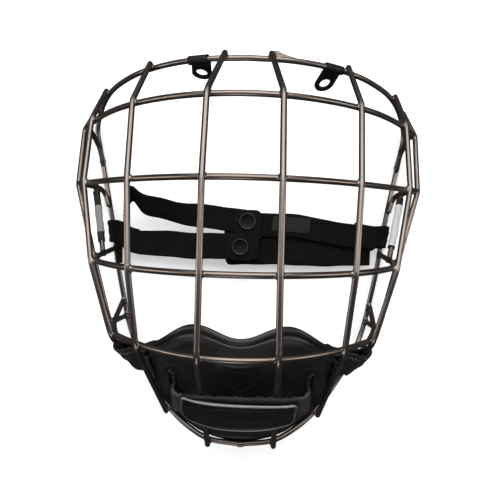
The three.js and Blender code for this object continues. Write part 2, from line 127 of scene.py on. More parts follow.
def add_floor():
    mesh = bpy.data.meshes.new("floor")
    corners = [(x * FLOOR_HALF, y * FLOOR_HALF, 0) for x, y in ((-1, -1), (1, -1), (1, 1), (-1, 1))]
    mesh.from_pydata(corners, [], [(0, 1, 2, 3)])
    n = Nodes("floor_paper", (0.9, 0.9, 0.9), 0.9, Emission_Color=(1, 1, 1, 1), Emission_Strength=FLOOR_GLOW)
    mesh.materials.append(n.set(Roughness=n.ramp(n.noise(30), 0.85, 0.95)))
    floor = in_scene("floor", mesh)
    floor.location.z = -FLOOR_DROP
    floor.visible_glossy = False
    floor.visible_diffuse = False


# ---- materials

class Nodes:
    """A material's node tree, with short calls for the nodes that the recipes below share."""

    def __init__(self, name, colour, roughness, metallic=0.0, **sockets):
        self.material = bpy.data.materials.new(name)
        self.material.use_nodes = True
        self.tree = self.material.node_tree
        self.shader = self.tree.nodes["Principled BSDF"]
        self.set(Base_Color=(*colour, 1), Roughness=roughness, Metallic=metallic, **sockets)
        self.here = self.place("Object")

    def feed(self, socket, value):
        if isinstance(value, bpy.types.NodeSocket):
            self.tree.links.new(value, socket)
        else:
            socket.default_value = value

    def add(self, kind, settings=(), **inputs):
        node = self.tree.nodes.new("ShaderNode" + kind)
        for key, value in dict(settings).items():
            setattr(node, key, value)
        for key, value in inputs.items():
            self.feed(node.inputs[key.replace("_", " ")], value)
        return node

    def set(self, **sockets):
        for key, value in sockets.items():
            self.feed(self.shader.inputs[key.replace("_", " ")], value)
        return self.material

    def place(self, kind, scale=(1, 1, 1)):
        return self.add("Mapping", Vector=self.add("TexCoord").outputs[kind], Scale=scale).outputs["Vector"]

    def noise(self, scale, detail=3.0, roughness=0.55, place=None):
        place = self.here if place is None else place
        node = self.add("TexNoise", Vector=place, Scale=scale, Detail=detail, Roughness=roughness)
        return node.outputs["Fac"]

    def cells(self, scale):
        return self.add("TexVoronoi", Vector=self.here, Scale=scale).outputs["Distance"]

    def bands(self, place, pitch, distortion):
        """Waves across the place's X, pitch millimetres from one to the next."""
        settings = {"wave_type": "BANDS", "bands_direction": "X", "wave_profile": "SIN"}
        return self.add("TexWave", settings, Vector=place, Scale=1000 / pitch / math.pi / 2 * 0.5,
                        Distortion=distortion, Detail=1.0).outputs["Fac"]

    def ramp(self, value, low, high):
        """Maps 0..1 to low..high, numbers or colours."""
        if isinstance(low, tuple):
            mix = self.add("Mix", {"data_type": "RGBA"}, Factor=value)
            mix.inputs[6].default_value = (*low, 1)
            mix.inputs[7].default_value = (*high, 1)
            return mix.outputs[2]
        return self.add("MapRange", Value=value, To_Min=low, To_Max=high).outputs["Result"]

    def math(self, operation, a, b):
        node = self.add("Math", {"operation": operation})
        self.feed(node.inputs[0], a)
        self.feed(node.inputs[1], b)
        return node.outputs[0]

    def bump(self, height, distance, strength=1.0, **normal):
        node = self.add("Bump", Height=height, Distance=distance * MM, Strength=strength, **normal)
        return node.outputs["Normal"]


def wire_metal():
    n = Nodes("wire_metal", (0.2, 0.165, 0.148), 0.33, 1.0)
    broad, fine = n.noise(45, 4), n.noise(420, 3)
    colour = n.ramp(broad, (0.15, 0.122, 0.108), (0.265, 0.225, 0.2))
    rough = n.math("ADD", n.ramp(broad, 0.28, 0.38), n.ramp(fine, -0.02, 0.03))
    return n.set(Base_Color=colour, Roughness=rough, Normal=n.bump(fine, 0.004, 0.12))


def worn_silver():
    n = Nodes("worn_silver", (0.6, 0.58, 0.56), 0.45, 1.0)
    wear = n.noise(350, 5, 0.7)
    colour = n.ramp(n.math("MULTIPLY", wear, wear), (0.22, 0.21, 0.2), (0.7, 0.68, 0.66))
    return n.set(Base_Color=colour, Roughness=n.ramp(wear, 0.36, 0.6), Normal=n.bump(wear, 0.03, 0.4))


def clip_coat():
    n = Nodes("clip_coat", (0.004, 0.004, 0.0044), 0.5, Specular_IOR_Level=0.28)
    grain, chips_and_glints = n.noise(1400, 2), n.noise(420, 5, 0.7)
    # pale specks where the noise is high: partly worn chips in the coat, partly painted glints on it
    colour = n.ramp(n.math("GREATER_THAN", chips_and_glints, 0.68), (0.004, 0.004, 0.0044), (0.12, 0.112, 0.108))
    return n.set(Base_Color=colour, Roughness=n.ramp(chips_and_glints, 0.42, 0.68), Normal=n.bump(grain, 0.02, 0.5))


def cup_plastic(name, rough_low, rough_high, coat):
    n = Nodes(name, (0.005, 0.005, 0.0053), 0.42, Specular_IOR_Level=0.42, Coat_Weight=coat,
              Coat_Roughness=0.2)
    broad, grain = n.noise(60, 4), n.noise(2600, 2)
    scuff = n.noise(1.0, 5, 0.65, n.place("Object", (40, 900, 300)))
    colour = n.ramp(broad, (0.007, 0.0069, 0.0073), (0.016, 0.0157, 0.0166))
    rough = n.math("ADD", n.ramp(broad, rough_low, rough_high), n.ramp(scuff, -0.06, 0.08))
    return n.set(Base_Color=colour, Roughness=rough, Normal=n.bump(grain, 0.015, 0.35))


def gloss_black(name, roughness, colour=(0.0035, 0.0035, 0.0038), shine=0.4):
    n = Nodes(name, colour, roughness, Specular_IOR_Level=shine, Coat_Weight=shine / 4, Coat_Roughness=0.12)
    smear, dust = n.noise(130, 5, 0.6), n.noise(1900, 2)
    return n.set(Base_Color=n.ramp(smear, colour, tuple(c * 2.1 for c in colour)),
                 Roughness=n.ramp(smear, roughness * 0.75, roughness * 1.5), Normal=n.bump(dust, 0.006, 0.25))


def vinyl(name, low, high, roughness):
    n = Nodes(name, low, roughness, Coat_Weight=0.15)
    broad, fine = n.noise(200, 5, 0.65), n.noise(1500, 2)
    rough = n.ramp(fine, roughness * 0.85, roughness * 1.25)
    return n.set(Base_Color=n.ramp(broad, low, high), Roughness=rough,
                 Normal=n.bump(broad, 0.12, 0.5, Normal=n.bump(fine, 0.02, 0.5)))


def foam_liner():
    n = Nodes("foam_liner", (0.02, 0.02, 0.021), 0.9, Sheen_Weight=0.3, Sheen_Roughness=0.5)
    colour = n.ramp(n.noise(90, 4), (0.014, 0.014, 0.015), (0.03, 0.03, 0.031))
    cells = n.cells(1500.0)
    return n.set(Base_Color=colour, Roughness=n.ramp(cells, 0.8, 1.0), Normal=n.bump(cells, 0.12, 0.6))


def cloth_black():
    n = Nodes("wrap_cloth", (0.005, 0.005, 0.0053), 0.8, Sheen_Weight=0.06, Sheen_Roughness=0.4,
              Specular_IOR_Level=0.25)
    broad = n.noise(140, 5, 0.65)
    colour = n.ramp(broad, (0.0035, 0.0035, 0.0038), (0.034, 0.035, 0.038))
    return n.set(Base_Color=colour, Roughness=n.ramp(broad, 0.62, 0.95),
                 Normal=n.bump(n.cells(1900.0), 0.1, 0.6, Normal=n.bump(broad, 0.5, 0.5)))


def webbing(name, dark, light, rib):
    """Woven webbing: ribs across the strap and a fine twill, from the strap's own coordinates."""
    n = Nodes(name, dark, 0.85, Sheen_Weight=0.03, Sheen_Roughness=0.4, Specular_IOR_Level=0.12)
    uv = n.place("UV")
    turned = n.add("Mapping", Vector=uv, Rotation=(0, 0, math.radians(58))).outputs["Vector"]
    ribs, twill = n.bands(uv, rib, 0.6), n.bands(turned, 0.8, 1.2)
    wear, fuzz = n.noise(120, 5, 0.65), n.noise(3000, 2)
    weave = n.math("ADD", n.math("MULTIPLY", ribs, 0.6), n.math("MULTIPLY", twill, 0.4))
    colour = n.ramp(n.math("MULTIPLY", wear, n.math("ADD", 0.55, n.math("MULTIPLY", fuzz, 0.8))), dark, light)
    return n.set(Base_Color=colour, Roughness=n.ramp(weave, 0.75, 0.95),
                 Normal=n.bump(weave, 0.07, 0.6, Normal=n.bump(fuzz, 0.05, 0.5)))


def sewing_thread():
    n = Nodes("thread", (0.008, 0.008, 0.0085), 0.8, Specular_IOR_Level=0.1)
    twist = n.add("TexWave", Vector=n.here, Scale=900.0).outputs["Fac"]
    return n.set(Base_Color=n.ramp(twist, (0.0028, 0.0028, 0.003), (0.0075, 0.0075, 0.0078)),
                 Normal=n.bump(twist, 0.05, 0.6))


# ---- curves

def spline(points, per_span):
    """Centripetal Catmull-Rom through the points, with per_span steps between neighbours."""
    p = np.asarray(points, float)
    p = np.vstack([2 * p[0] - p[1], p, 2 * p[-1] - p[-2]])
    out = []
    for i in range(1, len(p) - 2):
        p0, p1, p2, p3 = p[i - 1:i + 3]
        knots = [0.0]
        for a, b in ((p0, p1), (p1, p2), (p2, p3)):
            knots.append(knots[-1] + max(np.linalg.norm(b - a), 1e-6) ** 0.5)
        t0, t1, t2, t3 = knots
        for t in np.linspace(t1, t2, per_span, endpoint=False):
            a1 = ((t1 - t) * p0 + (t - t0) * p1) / (t1 - t0)
            a2 = ((t2 - t) * p1 + (t - t1) * p2) / (t2 - t1)
            a3 = ((t3 - t) * p2 + (t - t2) * p3) / (t3 - t2)
            b1 = ((t2 - t) * a1 + (t - t0) * a2) / (t2 - t0)
            b2 = ((t3 - t) * a2 + (t - t1) * a3) / (t3 - t1)
            out.append(((t2 - t) * b1 + (t - t1) * b2) / (t2 - t1))
    return np.array([*out, p[-2]])


def closed_spline(corners, per_span=6):
    """A smooth closed outline through flat corners."""
    corners = np.asarray(corners, float)
    wrapped = np.vstack([corners[-2:], corners, corners[:2]])
    return spline(wrapped, per_span)[2 * per_span:-2 * per_span - 1]


def corner(a, b, c, cut, count):
    """Points on the curve that rounds the corner a, b, c and starts cut millimetres before b."""
    cut = min(cut, np.linalg.norm(a - b) * 0.45, np.linalg.norm(c - b) * 0.45)
    start, end = b + unit(a - b) * cut, b + unit(c - b) * cut
    t = np.linspace(0, 1, count)[:, None]
    return (1 - t) ** 2 * start + 2 * t * (1 - t) * b + t * t * end


def bent(points, radius, turn_per_step=0.08):
    """Rounds every corner of a polyline with a short curve."""
    points = [np.asarray(p, float) for p in points]
    route = [points[0]]
    for a, b, c in zip(points, points[1:], points[2:]):
        cosine = np.dot(unit(a - b), unit(c - b))
        turn = math.pi - math.acos(max(-1.0, min(1.0, cosine)))
        if turn < 0.02:
            route.append(b)
        else:
            count = max(2, math.ceil(turn / turn_per_step)) + 1
            route.extend(corner(a, b, c, radius * math.tan(turn / 2), count))
    return np.array([*route, points[-1]])


def rounded_outline(corners, radii, per_corner=6):
    """A closed outline through corners, each rounded by its radius."""
    b = np.asarray(corners, float)
    around_b = zip(np.roll(b, 1, axis=0), b, np.roll(b, -1, axis=0), radii)
    return np.vstack([corner(*three, radius, per_corner) for *three, radius in around_b])


def fine_outline(outline, spacing):
    """The closed outline with points no further apart than spacing."""
    out = []
    for a, b in zip(outline, np.roll(outline, -1, axis=0)):
        steps = max(1, math.ceil(np.linalg.norm(b - a) / spacing))
        out.extend(a + (b - a) * k / steps for k in range(steps))
    return np.array(out)


def inset(outline, distance):
    """The closed outline moved inwards."""
    area = np.sum(outline[:, 0] * np.roll(outline[:, 1], -1) - np.roll(outline[:, 0], -1) * outline[:, 1])
    ahead, back = np.roll(outline, -1, axis=0) - outline, outline - np.roll(outline, 1, axis=0)
    along = 0
    for edge in (ahead, back):
        along = along + edge / np.maximum(np.linalg.norm(edge, axis=1), 1e-9)[:, None]
    along /= np.maximum(np.linalg.norm(along, axis=1), 1e-9)[:, None]
    return outline + np.stack([-along[:, 1], along[:, 0]], axis=1) * distance * (1 if area > 0 else -1)


def run_along(points):
    """Millimetres from a line's first point to each of its points."""
    return np.r_[0, np.cumsum(np.linalg.norm(np.diff(points, axis=0), axis=1))]


def read_at(at, run, line):
    return np.stack([np.interp(at, run, line[:, k]) for k in range(line.shape[1])], axis=-1)


def resampled(points, spacing):
    """Evenly spaced points along a polyline."""
    points = np.asarray(points, float)
    run = run_along(points)
    return read_at(np.linspace(0, run[-1], max(2, round(run[-1] / spacing) + 1)), run, points)


def tangents(points):
    return np.array([unit(v) for v in np.gradient(np.asarray(points, float), axis=0)])


# ---- mesh making

class Shell:
    """Collects vertices (millimetres, table frame), faces, material numbers and UVs of one piece."""

    def __init__(self):
        self.verts, self.faces, self.slots, self.uvs = [], [], [], []

    def face(self, corners, slot=0, uv=None):
        self.faces.append(tuple(corners))
        self.slots.append(slot)
        self.uvs.append(uv)

    def grid(self, points, closed_u=False, closed_v=False, slot=0, uv=None, flip=False):
        """A surface over points[i][j]. uv has the same shape; slot is one number, or one for each row."""
        points = np.asarray(points, float)
        rows, columns = points.shape[:2]
        start = len(self.verts)
        self.verts.extend(points.reshape(-1, 3).tolist())
        for i in range(rows if closed_u else rows - 1):
            for j in range(columns if closed_v else columns - 1):
                corners = [(i, j), (i + 1, j), (i + 1, j + 1), (i, j + 1)]
                if flip:
                    corners.reverse()
                ids = [start + (a % rows) * columns + b % columns for a, b in corners]
                self.face(ids, slot if np.isscalar(slot) else slot[i], uv and [uv[a][b] for a, b in corners])
        return start

    def loft(self, rings, slot=0, uv=None):
        """A closed body through rings of points, with a flat face at each end."""
        start = self.grid(rings, closed_v=True, slot=slot, uv=uv)
        count = len(rings[0])
        end = slot if np.isscalar(slot) else 0
        self.face([start + k for k in range(count)], end)
        self.face([start + (len(rings) - 1) * count + k for k in reversed(range(count))], end)

    def piece(self, name, materials):
        mesh = bpy.data.meshes.new(name)
        mesh.from_pydata(((np.array(self.verts) + OFFSET) * MM).tolist(), [], self.faces)
        for polygon, slot in zip(mesh.polygons, self.slots):
            polygon.material_index = slot
            polygon.use_smooth = True
        if any(self.uvs):
            layer = mesh.uv_layers.new(name="UVMap")
            for polygon, uv in zip(mesh.polygons, self.uvs):
                for loop, place in zip(polygon.loop_indices, uv or [(0, 0)] * polygon.loop_total):
                    layer.data[loop].uv = (place[0] * MM, place[1] * MM)
        with_mesh(mesh, lambda bm: bmesh.ops.recalc_face_normals(bm, faces=bm.faces))
        for material in materials:
            mesh.materials.append(material)
        return in_scene(name, mesh)


def with_mesh(mesh, change):
    bm = bmesh.new()
    bm.from_mesh(mesh)
    change(bm)
    bm.to_mesh(mesh)
    bm.free()


def shade_by_angle(piece, degrees):
    """Marks the edges between faces that meet at a steep angle as sharp."""
    def mark(bm):
        for edge in bm.edges:
            edge.smooth = len(edge.link_faces) == 2 and edge.calc_face_angle(0) < math.radians(degrees)

    with_mesh(piece.data, mark)


def modify(piece, kind, **settings):
    """Changes a piece's mesh by one modifier, applied at once."""
    modifier = piece.modifiers.new(kind, kind)
    for key, value in settings.items():
        setattr(modifier, key, value)
    bpy.context.view_layer.update()
    baked = bpy.data.meshes.new_from_object(piece.evaluated_get(bpy.context.evaluated_depsgraph_get()))
    piece.modifiers.clear()
    piece.data = baked


def turned_frames(points):
    """Two directions across a route at each point, carried along without twist."""
    along = tangents(points)
    side = unit(np.cross(along[0], [0.3, 0.5, 0.8]))
    sides = []
    for t in along:
        side = unit(side - t * np.dot(side, t))
        sides.append(side)
    return np.array(sides), np.cross(along, sides)


def tube(shell, points, radius, sides=14, closed=False, slot=0, cap=0.55):
    """A round wire along a route. Its ends are cut square, with the edge rounded by cap times the radius."""
    points = np.asarray(points, float)
    radii = np.full(len(points), radius, float)
    if not closed:
        start, end = unit(points[0] - points[1]), unit(points[-1] - points[-2])
        edge = cap * radius
        turns = np.linspace(0, math.pi / 2, 5)[1:]
        front = [points[0] + start * edge * (math.sin(a) - 1) for a in turns]
        back = [points[-1] + end * edge * (math.sin(a) - 1) for a in turns]
        rim = [radius - edge * (1 - math.cos(a)) for a in turns]
        points = np.array([front[-1], *reversed(front), points[0] - start * edge, *points[1:-1],
                           points[-1] - end * edge, *back, back[-1]])
        radii = np.array([0.0, *reversed(rim), *radii, *rim, 0.0])
        points[0] += start * 1e-4
        points[-1] += end * 1e-4
    across, up = turned_frames(points)
    turn = around(sides)[None, :, None]
    ring = np.cos(turn) * across[:, None] + np.sin(turn) * up[:, None]
    shell.grid(points[:, None] + ring * radii[:, None, None], closed_u=closed, closed_v=True, slot=slot)


def slab(shell, top, bottom):
    """A closed plate between two matching grids of points."""
    rows, columns = top.shape[:2]
    a, b = shell.grid(top), shell.grid(bottom, flip=True)
    border = [(i, 0) for i in range(rows)] + [(rows - 1, j) for j in range(1, columns)]
    border += [(i, columns - 1) for i in range(rows - 2, -1, -1)]
    border += [(0, j) for j in range(columns - 2, 0, -1)]
    ids = [i * columns + j for i, j in border]
    for p, q in zip(ids, ids[1:] + ids[:1]):
        shell.face((a + p, a + q, b + q, b + p))


def plate(shell, outline, steps, at, slots=None, shrink=(0.8, 0.55, 0.3, 0.1)):
    """A plate built in rings: steps lists (inset, height) from the back's edge round to the face."""
    centre = outline.mean(axis=0)
    edges = [inset(outline, distance) for distance, _ in steps]
    back, face = [[centre + (edge - centre) * share for share in shrink] for edge in (edges[0], edges[-1])]
    count, heights = len(shrink), [height for _, height in steps]
    heights = heights[:1] * count + heights + heights[-1:] * count
    rings = [[at(x, y, h) for x, y in ring] for ring, h in zip([*reversed(back), *edges, *face], heights)]
    shell.loft(rings, slot=([0] * count + (slots or [0] * len(steps)) + [0] * count)[1:])


# ---- wires

WIRE_R = 1.5
WELD_SINK = 0.5
END_STUB = 2
FOOT_STUB = 3.2
BEND_R = 9

# Half of the closed rim wire, from the middle of the brow round to the middle of the chin: x, y, z.
RIM = [
    (0, 83, 82.5), (20, 83, 79), (38, 82.5, 71), (56, 81, 58), (70, 79.3, 41), (82.7, 75.7, 22),
    (90.6, 68.4, 9), (94.5, 57, 3.2), (93, 45, 1.6), (90, 30, 2.2), (86, 11, 4.2), (83.5, -3, 4.6),
    (80, -28, 4), (77, -45, 2.4), (74, -60, 1.8), (69, -74, 5), (61, -85, 17), (52, -94, 31),
    (41.5, -104.2, 44), (30.5, -111.7, 52.5), (17.7, -117.5, 58), (0, -119.4, 60),
]
# Cross bars: height on the face, drop at the sides, apex, fall of the parabola, half width, and the
# route back to the rim.
BARS = [
    (58.7, 4.5, 117.5, 100, 95, [(94.5, 53, 17), (92, 45, 8), (90.5, 37, 4.8)]),
    (20, -0.8, 132.5, 100, 94, [(90.5, 20, 10), (88.5, 17, 6), (86, 9, 6.8)]),
    (-22, -1.5, 137.5, 100, 76, [(80.5, -19, 54), (81.5, -16.5, 6.8)]),
    (-58, 0, 140.5, 70, 64.5, [(70, -57, 60), (72.5, -56, 48), (77, -50, 4.6)]),
]
# Uprights: name, axis and the coordinates where each crosses the bars, and its x at the rim's top and bottom.
UPRIGHTS = [
    ("centre", 0, (16.8, 16.8, 16.6, 16.6), 11.7, 17.2),
    ("inner", 0, (54.8, 53.4, 50.9, 47), 51.5, 41.3),
    ("outer", 0, (85.2, 85.2, 75.5, 64.5), 83.5, 60),
    ("side", 2, (23, 40, 56, 50), 91, None),
]
SIDE_FOOT = (75.5, -59, 4.4)
LABEL_WIRE = np.array([(91.6, 21, 17), (80.8, -18.5, 42)])
WIRE_MIDDLE = vec(0, -15, 40)          # inside the cage, so that outwards is away from it

rim_half = spline(RIM, 8)


def bar_half(y, drop, front, spread, side, back):
    x = np.linspace(0, side, 45)
    arc = np.stack([x, y - drop * (x / side) ** 6, front - x * x / spread], axis=1)
    return np.vstack([arc[:-2], bent([arc[-2], arc[-1], *back], BEND_R)])


bar_halves = [bar_half(*bar) for bar in BARS]


def crossing(route, axis, value, test=lambda p: True):
    """Place and direction of a route at the first point with that coordinate."""
    for a, b in zip(route, route[1:]):
        if (a[axis] - value) * (b[axis] - value) > 0 or not test(a):
            continue
        span = b[axis] - a[axis]
        return a + (b - a) * ((value - a[axis]) / span if span else 0), unit(b - a)
    raise ValueError(f"no crossing at {value}")


def rim_top(x):
    return crossing(rim_half, 0, x, lambda p: p[1] > 60)


def on_top(place, along, upright):
    out = unit(np.cross(along, upright))
    if np.dot(out, place - WIRE_MIDDLE) < 0:
        out = -out
    return place + out * (2 * WIRE_R - WELD_SINK)


def upright_route(axis, at, top, bottom):
    found = [rim_top(top), *(crossing(bar, axis, value) for bar, value in zip(bar_halves, at))]
    if bottom is not None:
        found.append(crossing(rim_half, 0, bottom, lambda p: p[1] < -70))
    points = []
    for i, (place, along) in enumerate(found):
        above, below = found[max(i - 1, 0)][0], found[min(i + 1, len(found) - 1)][0]
        points.append(on_top(place, along, unit(below - above)))
    points.insert(0, points[0] + unit(points[0] - points[1]) * END_STUB)
    foot = vec(*SIDE_FOOT) if bottom is None else points[-1] + unit(points[-1] - points[-2]) * FOOT_STUB
    return bent([*points, foot], BEND_R)


upright_halves = {name: upright_route(*upright) for name, *upright in UPRIGHTS}


def both_halves(half):
    return np.vstack([flipped(half, -1)[::-1], half[1:]])


def wires_piece(metal):
    shell = Shell()
    tube(shell, both_halves(rim_half)[:-1], WIRE_R, closed=True)
    for half in bar_halves:
        tube(shell, both_halves(half), WIRE_R)
    for side in (-1, 1):
        for half in [*upright_halves.values(), LABEL_WIRE]:
            tube(shell, resampled(flipped(half, side), 3), WIRE_R)
    return shell.piece("wires", [metal])


# ---- welds

WELD_STEP = 0.5                # along the wires, where they are searched for contacts
WELD_REACH = 10                # steps of wire to each side of a contact
WELD_GAP = 0.6
WELD_AXES = (2.3, 2.0, 1.35)   # half lengths of the solder along the wires, across and through them
WELD_VOXEL = 0.36
WELD_SMOOTHING = 5
# The tapering web from the top of the right centre upright to the rim: where it starts and lands, its radius.
WEB_SPREAD, WEB_LANDING, WEB_R = 11.5, 26, 1.35
BUTT_HALF, BUTT_R = 2, 1.9     # the butt weld that closes the rim at the chin


def welds():
    """Each pair of wires that touch, on the right side: the two stretches of wire and the contact."""
    rims = [rim_half[rim_half[:, 1] > 0], rim_half[rim_half[:, 1] < 12]]
    wires = [*rims, *bar_halves, *upright_halves.values(), LABEL_WIRE]
    routes = [resampled(wire, WELD_STEP) for wire in wires]
    for i, a in enumerate(routes):
        for j, b in enumerate(routes[i + 1:], i + 1):
            gaps = np.linalg.norm(a[:, None] - b[None], axis=2)
            m, n = np.unravel_index(gaps.argmin(), gaps.shape)
            # the first two routes are one wire
            if j > 1 and gaps[m, n] < 2 * WIRE_R + WELD_GAP:
                stretches = [wire[max(k - WELD_REACH, 0):k + WELD_REACH + 1] for wire, k in ((a, m), (b, n))]
                yield *stretches, a[m], b[n]


def blob(shell, centre, axes, rings=10, sides=14):
    """An ellipsoid: axes holds its three half lengths as vectors."""
    p, t = np.meshgrid(np.linspace(0.02, math.pi - 0.02, rings), around(sides), indexing="ij")
    parts = (np.sin(p) * np.cos(t), np.sin(p) * np.sin(t), np.cos(p))
    shell.loft(centre + sum(part[..., None] * axis for part, axis in zip(parts, axes)))


def welds_piece(metal):
    shell = Shell()
    for side in (-1, 1):
        for a, b, at_a, at_b in welds():
            for stretch in (a, b):
                tube(shell, flipped(stretch[::2], side), WIRE_R + 0.04, sides=12, cap=0.3)
            along_a, along_b = unit(a[-1] - a[0]), unit(b[-1] - b[0])
            if np.dot(along_a, along_b) < 0:
                along_b = -along_b
            out = unit(at_b - at_a)
            wide = unit(np.cross(out, unit(along_a + along_b)))
            ways = (np.cross(wide, out), wide, out)
            axes = [flipped(way * size, side) for way, size in zip(ways, WELD_AXES)]
            blob(shell, flipped((at_a + at_b) / 2, side), axes)
    end, landing = upright_halves["centre"][0] + vec(1, 0.2, 0.2), rim_top(WEB_LANDING)[0]
    for share in np.linspace(0, 1, 5):
        start = end * (1 - share) + rim_top(WEB_SPREAD)[0] * share + vec(0, 0.2, -0.3)
        middle = (start + landing) / 2 + vec(0, -0.5 * (1 - share), 0)
        tube(shell, [start, middle, landing], WEB_R, sides=10, cap=0.9)
    tube(shell, [rim_half[-1] + vec(x, 0, 0) for x in (-BUTT_HALF, 0, BUTT_HALF)], BUTT_R, cap=0.6)
    piece = shell.piece("welds", [metal])
    modify(piece, "REMESH", mode="VOXEL", voxel_size=WELD_VOXEL * MM, use_smooth_shade=True)
    modify(piece, "SMOOTH", iterations=WELD_SMOOTHING, factor=0.5)
    piece.data.materials.clear()
    piece.data.materials.append(metal)
    return piece


# ---- helmet clips

CLIP_WIDTH = 11
CLIP_WALL = 0.6
CLIP_EDGE = 0.2                # rounding of the strip's edges
CLIP_BEVEL = 0.16
CLIP_RING = 2.07               # middle of the strip's wall round the wire
CLIP_LAYER = CLIP_WALL / 2 + 0.03
CLIP_MOUTH = 0.75              # radians of the ring left free where the two layers come out of it
TAB_REACH = 10.2
TAB_END_R = 5.6
HOLE_R = 3.0
PRESSED_R, PRESSED_WIRE = 3.6, 0.22   # the pressed rim round the screw hole
TAB_ROOT = 3.3                 # where the two layers of the strip lie together
# name, body, half of the brow, place on the rim, tilt from hanging straight down in degrees, and how far the
# screw hole is outwards of the middle of the wrap
CLIPS = [("clip_left", LEFT_CLIP, -1, 25.4, 22, 2.8), ("clip_right", RIGHT_CLIP, 1, 44.5, 32, 1.0)]


def clip_frame(side, x, tilt):
    """Gives the place of a point of the clip: along the wire, out along the tab, and off its face."""
    near, middle, far = [rim_top(x + end * CLIP_WIDTH / 2)[0] for end in (-1, 0, 1)]
    place = flipped((near + far) / 4 + middle / 2, side)
    chord = unit(far - near)
    axis = vec(chord[0], side * chord[1], side * chord[2])
    lean = math.radians(tilt)
    tab = vec(0, -math.sin(lean), -math.cos(lean))
    tab = unit(tab - axis * np.dot(tab, axis))
    face = np.cross(axis, tab)
    return lambda across, reach, out: place + axis * across + tab * reach + face * out


def band(shell, line, frame_at, steps=3):
    """The clip's strip along a plane line (reach, out), with rounded edges."""
    along = np.gradient(line, axis=0)
    along /= np.linalg.norm(along, axis=1)[:, None]
    normal = np.stack([-along[:, 1], along[:, 0]], axis=1)
    half, wall, section = CLIP_WIDTH / 2 - CLIP_EDGE, CLIP_WALL / 2 - CLIP_EDGE, []
    for sx, sz in ((1, -1), (1, 1), (-1, 1), (-1, -1)):
        for turn in np.linspace(0, math.pi / 2, steps + 1):
            dx, dz = (math.cos(turn), math.sin(turn)) if sx * sz > 0 else (math.sin(turn), math.cos(turn))
            section.append((sx * (half + CLIP_EDGE * dx), sz * (wall + CLIP_EDGE * dz)))
    shell.loft([[frame_at(x, *(place + out * z)) for x, z in section] for place, out in zip(line, normal)])


def tab_outline(lean, angles):
    """How far the tab reaches from the screw hole's middle: a straight root and a round end."""
    for a in angles:
        d = np.array([math.cos(a), math.sin(a)])
        if d[1] >= 0:
            yield TAB_END_R
            continue
        reach = (TAB_ROOT - TAB_REACH) / d[1]
        for sign in (-1, 1):
            # the straight side from the root's corner to the round end
            root = np.array([sign * CLIP_WIDTH / 2 - lean, TAB_ROOT - TAB_REACH])
            edge = np.array([sign * TAB_END_R, 0]) - root
            cross = d[0] * edge[1] - d[1] * edge[0]
            if abs(cross) > 1e-9:
                t = (root[0] * edge[1] - root[1] * edge[0]) / cross
                reach = min(reach, t) if t > 0 else reach
        yield reach


def tab_layer(shell, lean, middle, frame_at):
    """One layer of the tab: a plate with a screw hole."""
    angles = around(72)
    outline, hole = np.array([*tab_outline(lean, angles)]), np.full(72, HOLE_R)
    low, high = -CLIP_WALL / 2, CLIP_WALL / 2
    rings = [(hole, low + CLIP_BEVEL), (hole + CLIP_BEVEL, low), (outline - CLIP_BEVEL, low),
             (outline, low + CLIP_BEVEL), (outline, high - CLIP_BEVEL), (outline - CLIP_BEVEL, high),
             (hole + CLIP_BEVEL, high), (hole, high - CLIP_BEVEL)]
    shell.grid([[frame_at(lean + r * math.cos(a), TAB_REACH + r * math.sin(a), middle + z)
                 for r, a in zip(reach, angles)] for reach, z in rings], closed_u=True, closed_v=True)


def clip_piece(name, side, x, tilt, lean, coat):
    frame_at = clip_frame(side, x, tilt)
    first = math.asin(CLIP_LAYER / CLIP_RING) + CLIP_MOUTH
    turns = np.linspace(first, 2 * math.pi - first, 40)
    ring = [(CLIP_RING * math.cos(a), CLIP_RING * math.sin(a)) for a in turns]
    top = [(TAB_ROOT + 0.6, CLIP_LAYER), (TAB_ROOT - 0.3, CLIP_LAYER), (TAB_ROOT - 1.1, CLIP_LAYER + 0.1)]
    shell = Shell()
    band(shell, spline([*top, *ring[::4], ring[-1], *[(y, -z) for y, z in reversed(top)]], 4), frame_at)
    for face in (1, -1):
        tab_layer(shell, side * lean, face * CLIP_LAYER, frame_at)
    for face in (1, -1):
        route = [frame_at(side * lean + PRESSED_R * math.cos(a), TAB_REACH + PRESSED_R * math.sin(a),
                          face * (CLIP_LAYER + CLIP_WALL / 2)) for a in around(40)]
        tube(shell, route, PRESSED_WIRE, sides=8, closed=True)
    return shell.piece(name, [coat])


# ---- chin cup

CUP_WALL = 5.0
CUP_EDGE_WALL = 2.6
SHELL_WALL = 1.9               # the plastic outside the foam
FOAM_GAP, FOAM_LEAST = 0.05, 0.15     # from the plastic to the foam and to the foam's inside at its thinnest
# Rows from the bottom to the top of the cup: crest y, z, and edge x, y, z.
CUP = [
    (-116.8, 60, 24.5, -112.2, 53.7), (-105, 75, 38.1, -104, 48.2), (-93, 88, 47, -94, 49.6),
    (-81, 98.5, 48, -83, 57), (-68, 106, 49.5, -73, 66), (-55, 108, 48.5, -64, 75),
]
CUP_LOBE = 8.0
CUP_SPAN = np.array([47.0, 86.0])     # millimetres that u from 0 to 1 and v from 0 to 1 cover, roughly
SLOT_U, SLOT_V, SLOT_WIDTH, SLOT_LENGTH = 0.755, 0.53, 4.0, 21.0
SLOT_SPAN = 58.0               # millimetres that u from 0 to 1 covers beside the slots, along the face
EDGE_U, EDGE_LOW, EDGE_HIGH = 0.985, 0.008, 0.992   # where the trims and the foam end
BEAD_R, LIP_R, OVAL_R = 1.15, 1.5, 0.75
TRIM_SINK, OVAL_SINK = 1.0, 0.95      # how deep their middles lie under the cup's face
LIP_REACH, LIP_DROP = 1.2, 1.9        # how far the lower lip stands out towards the rim wire, and under it
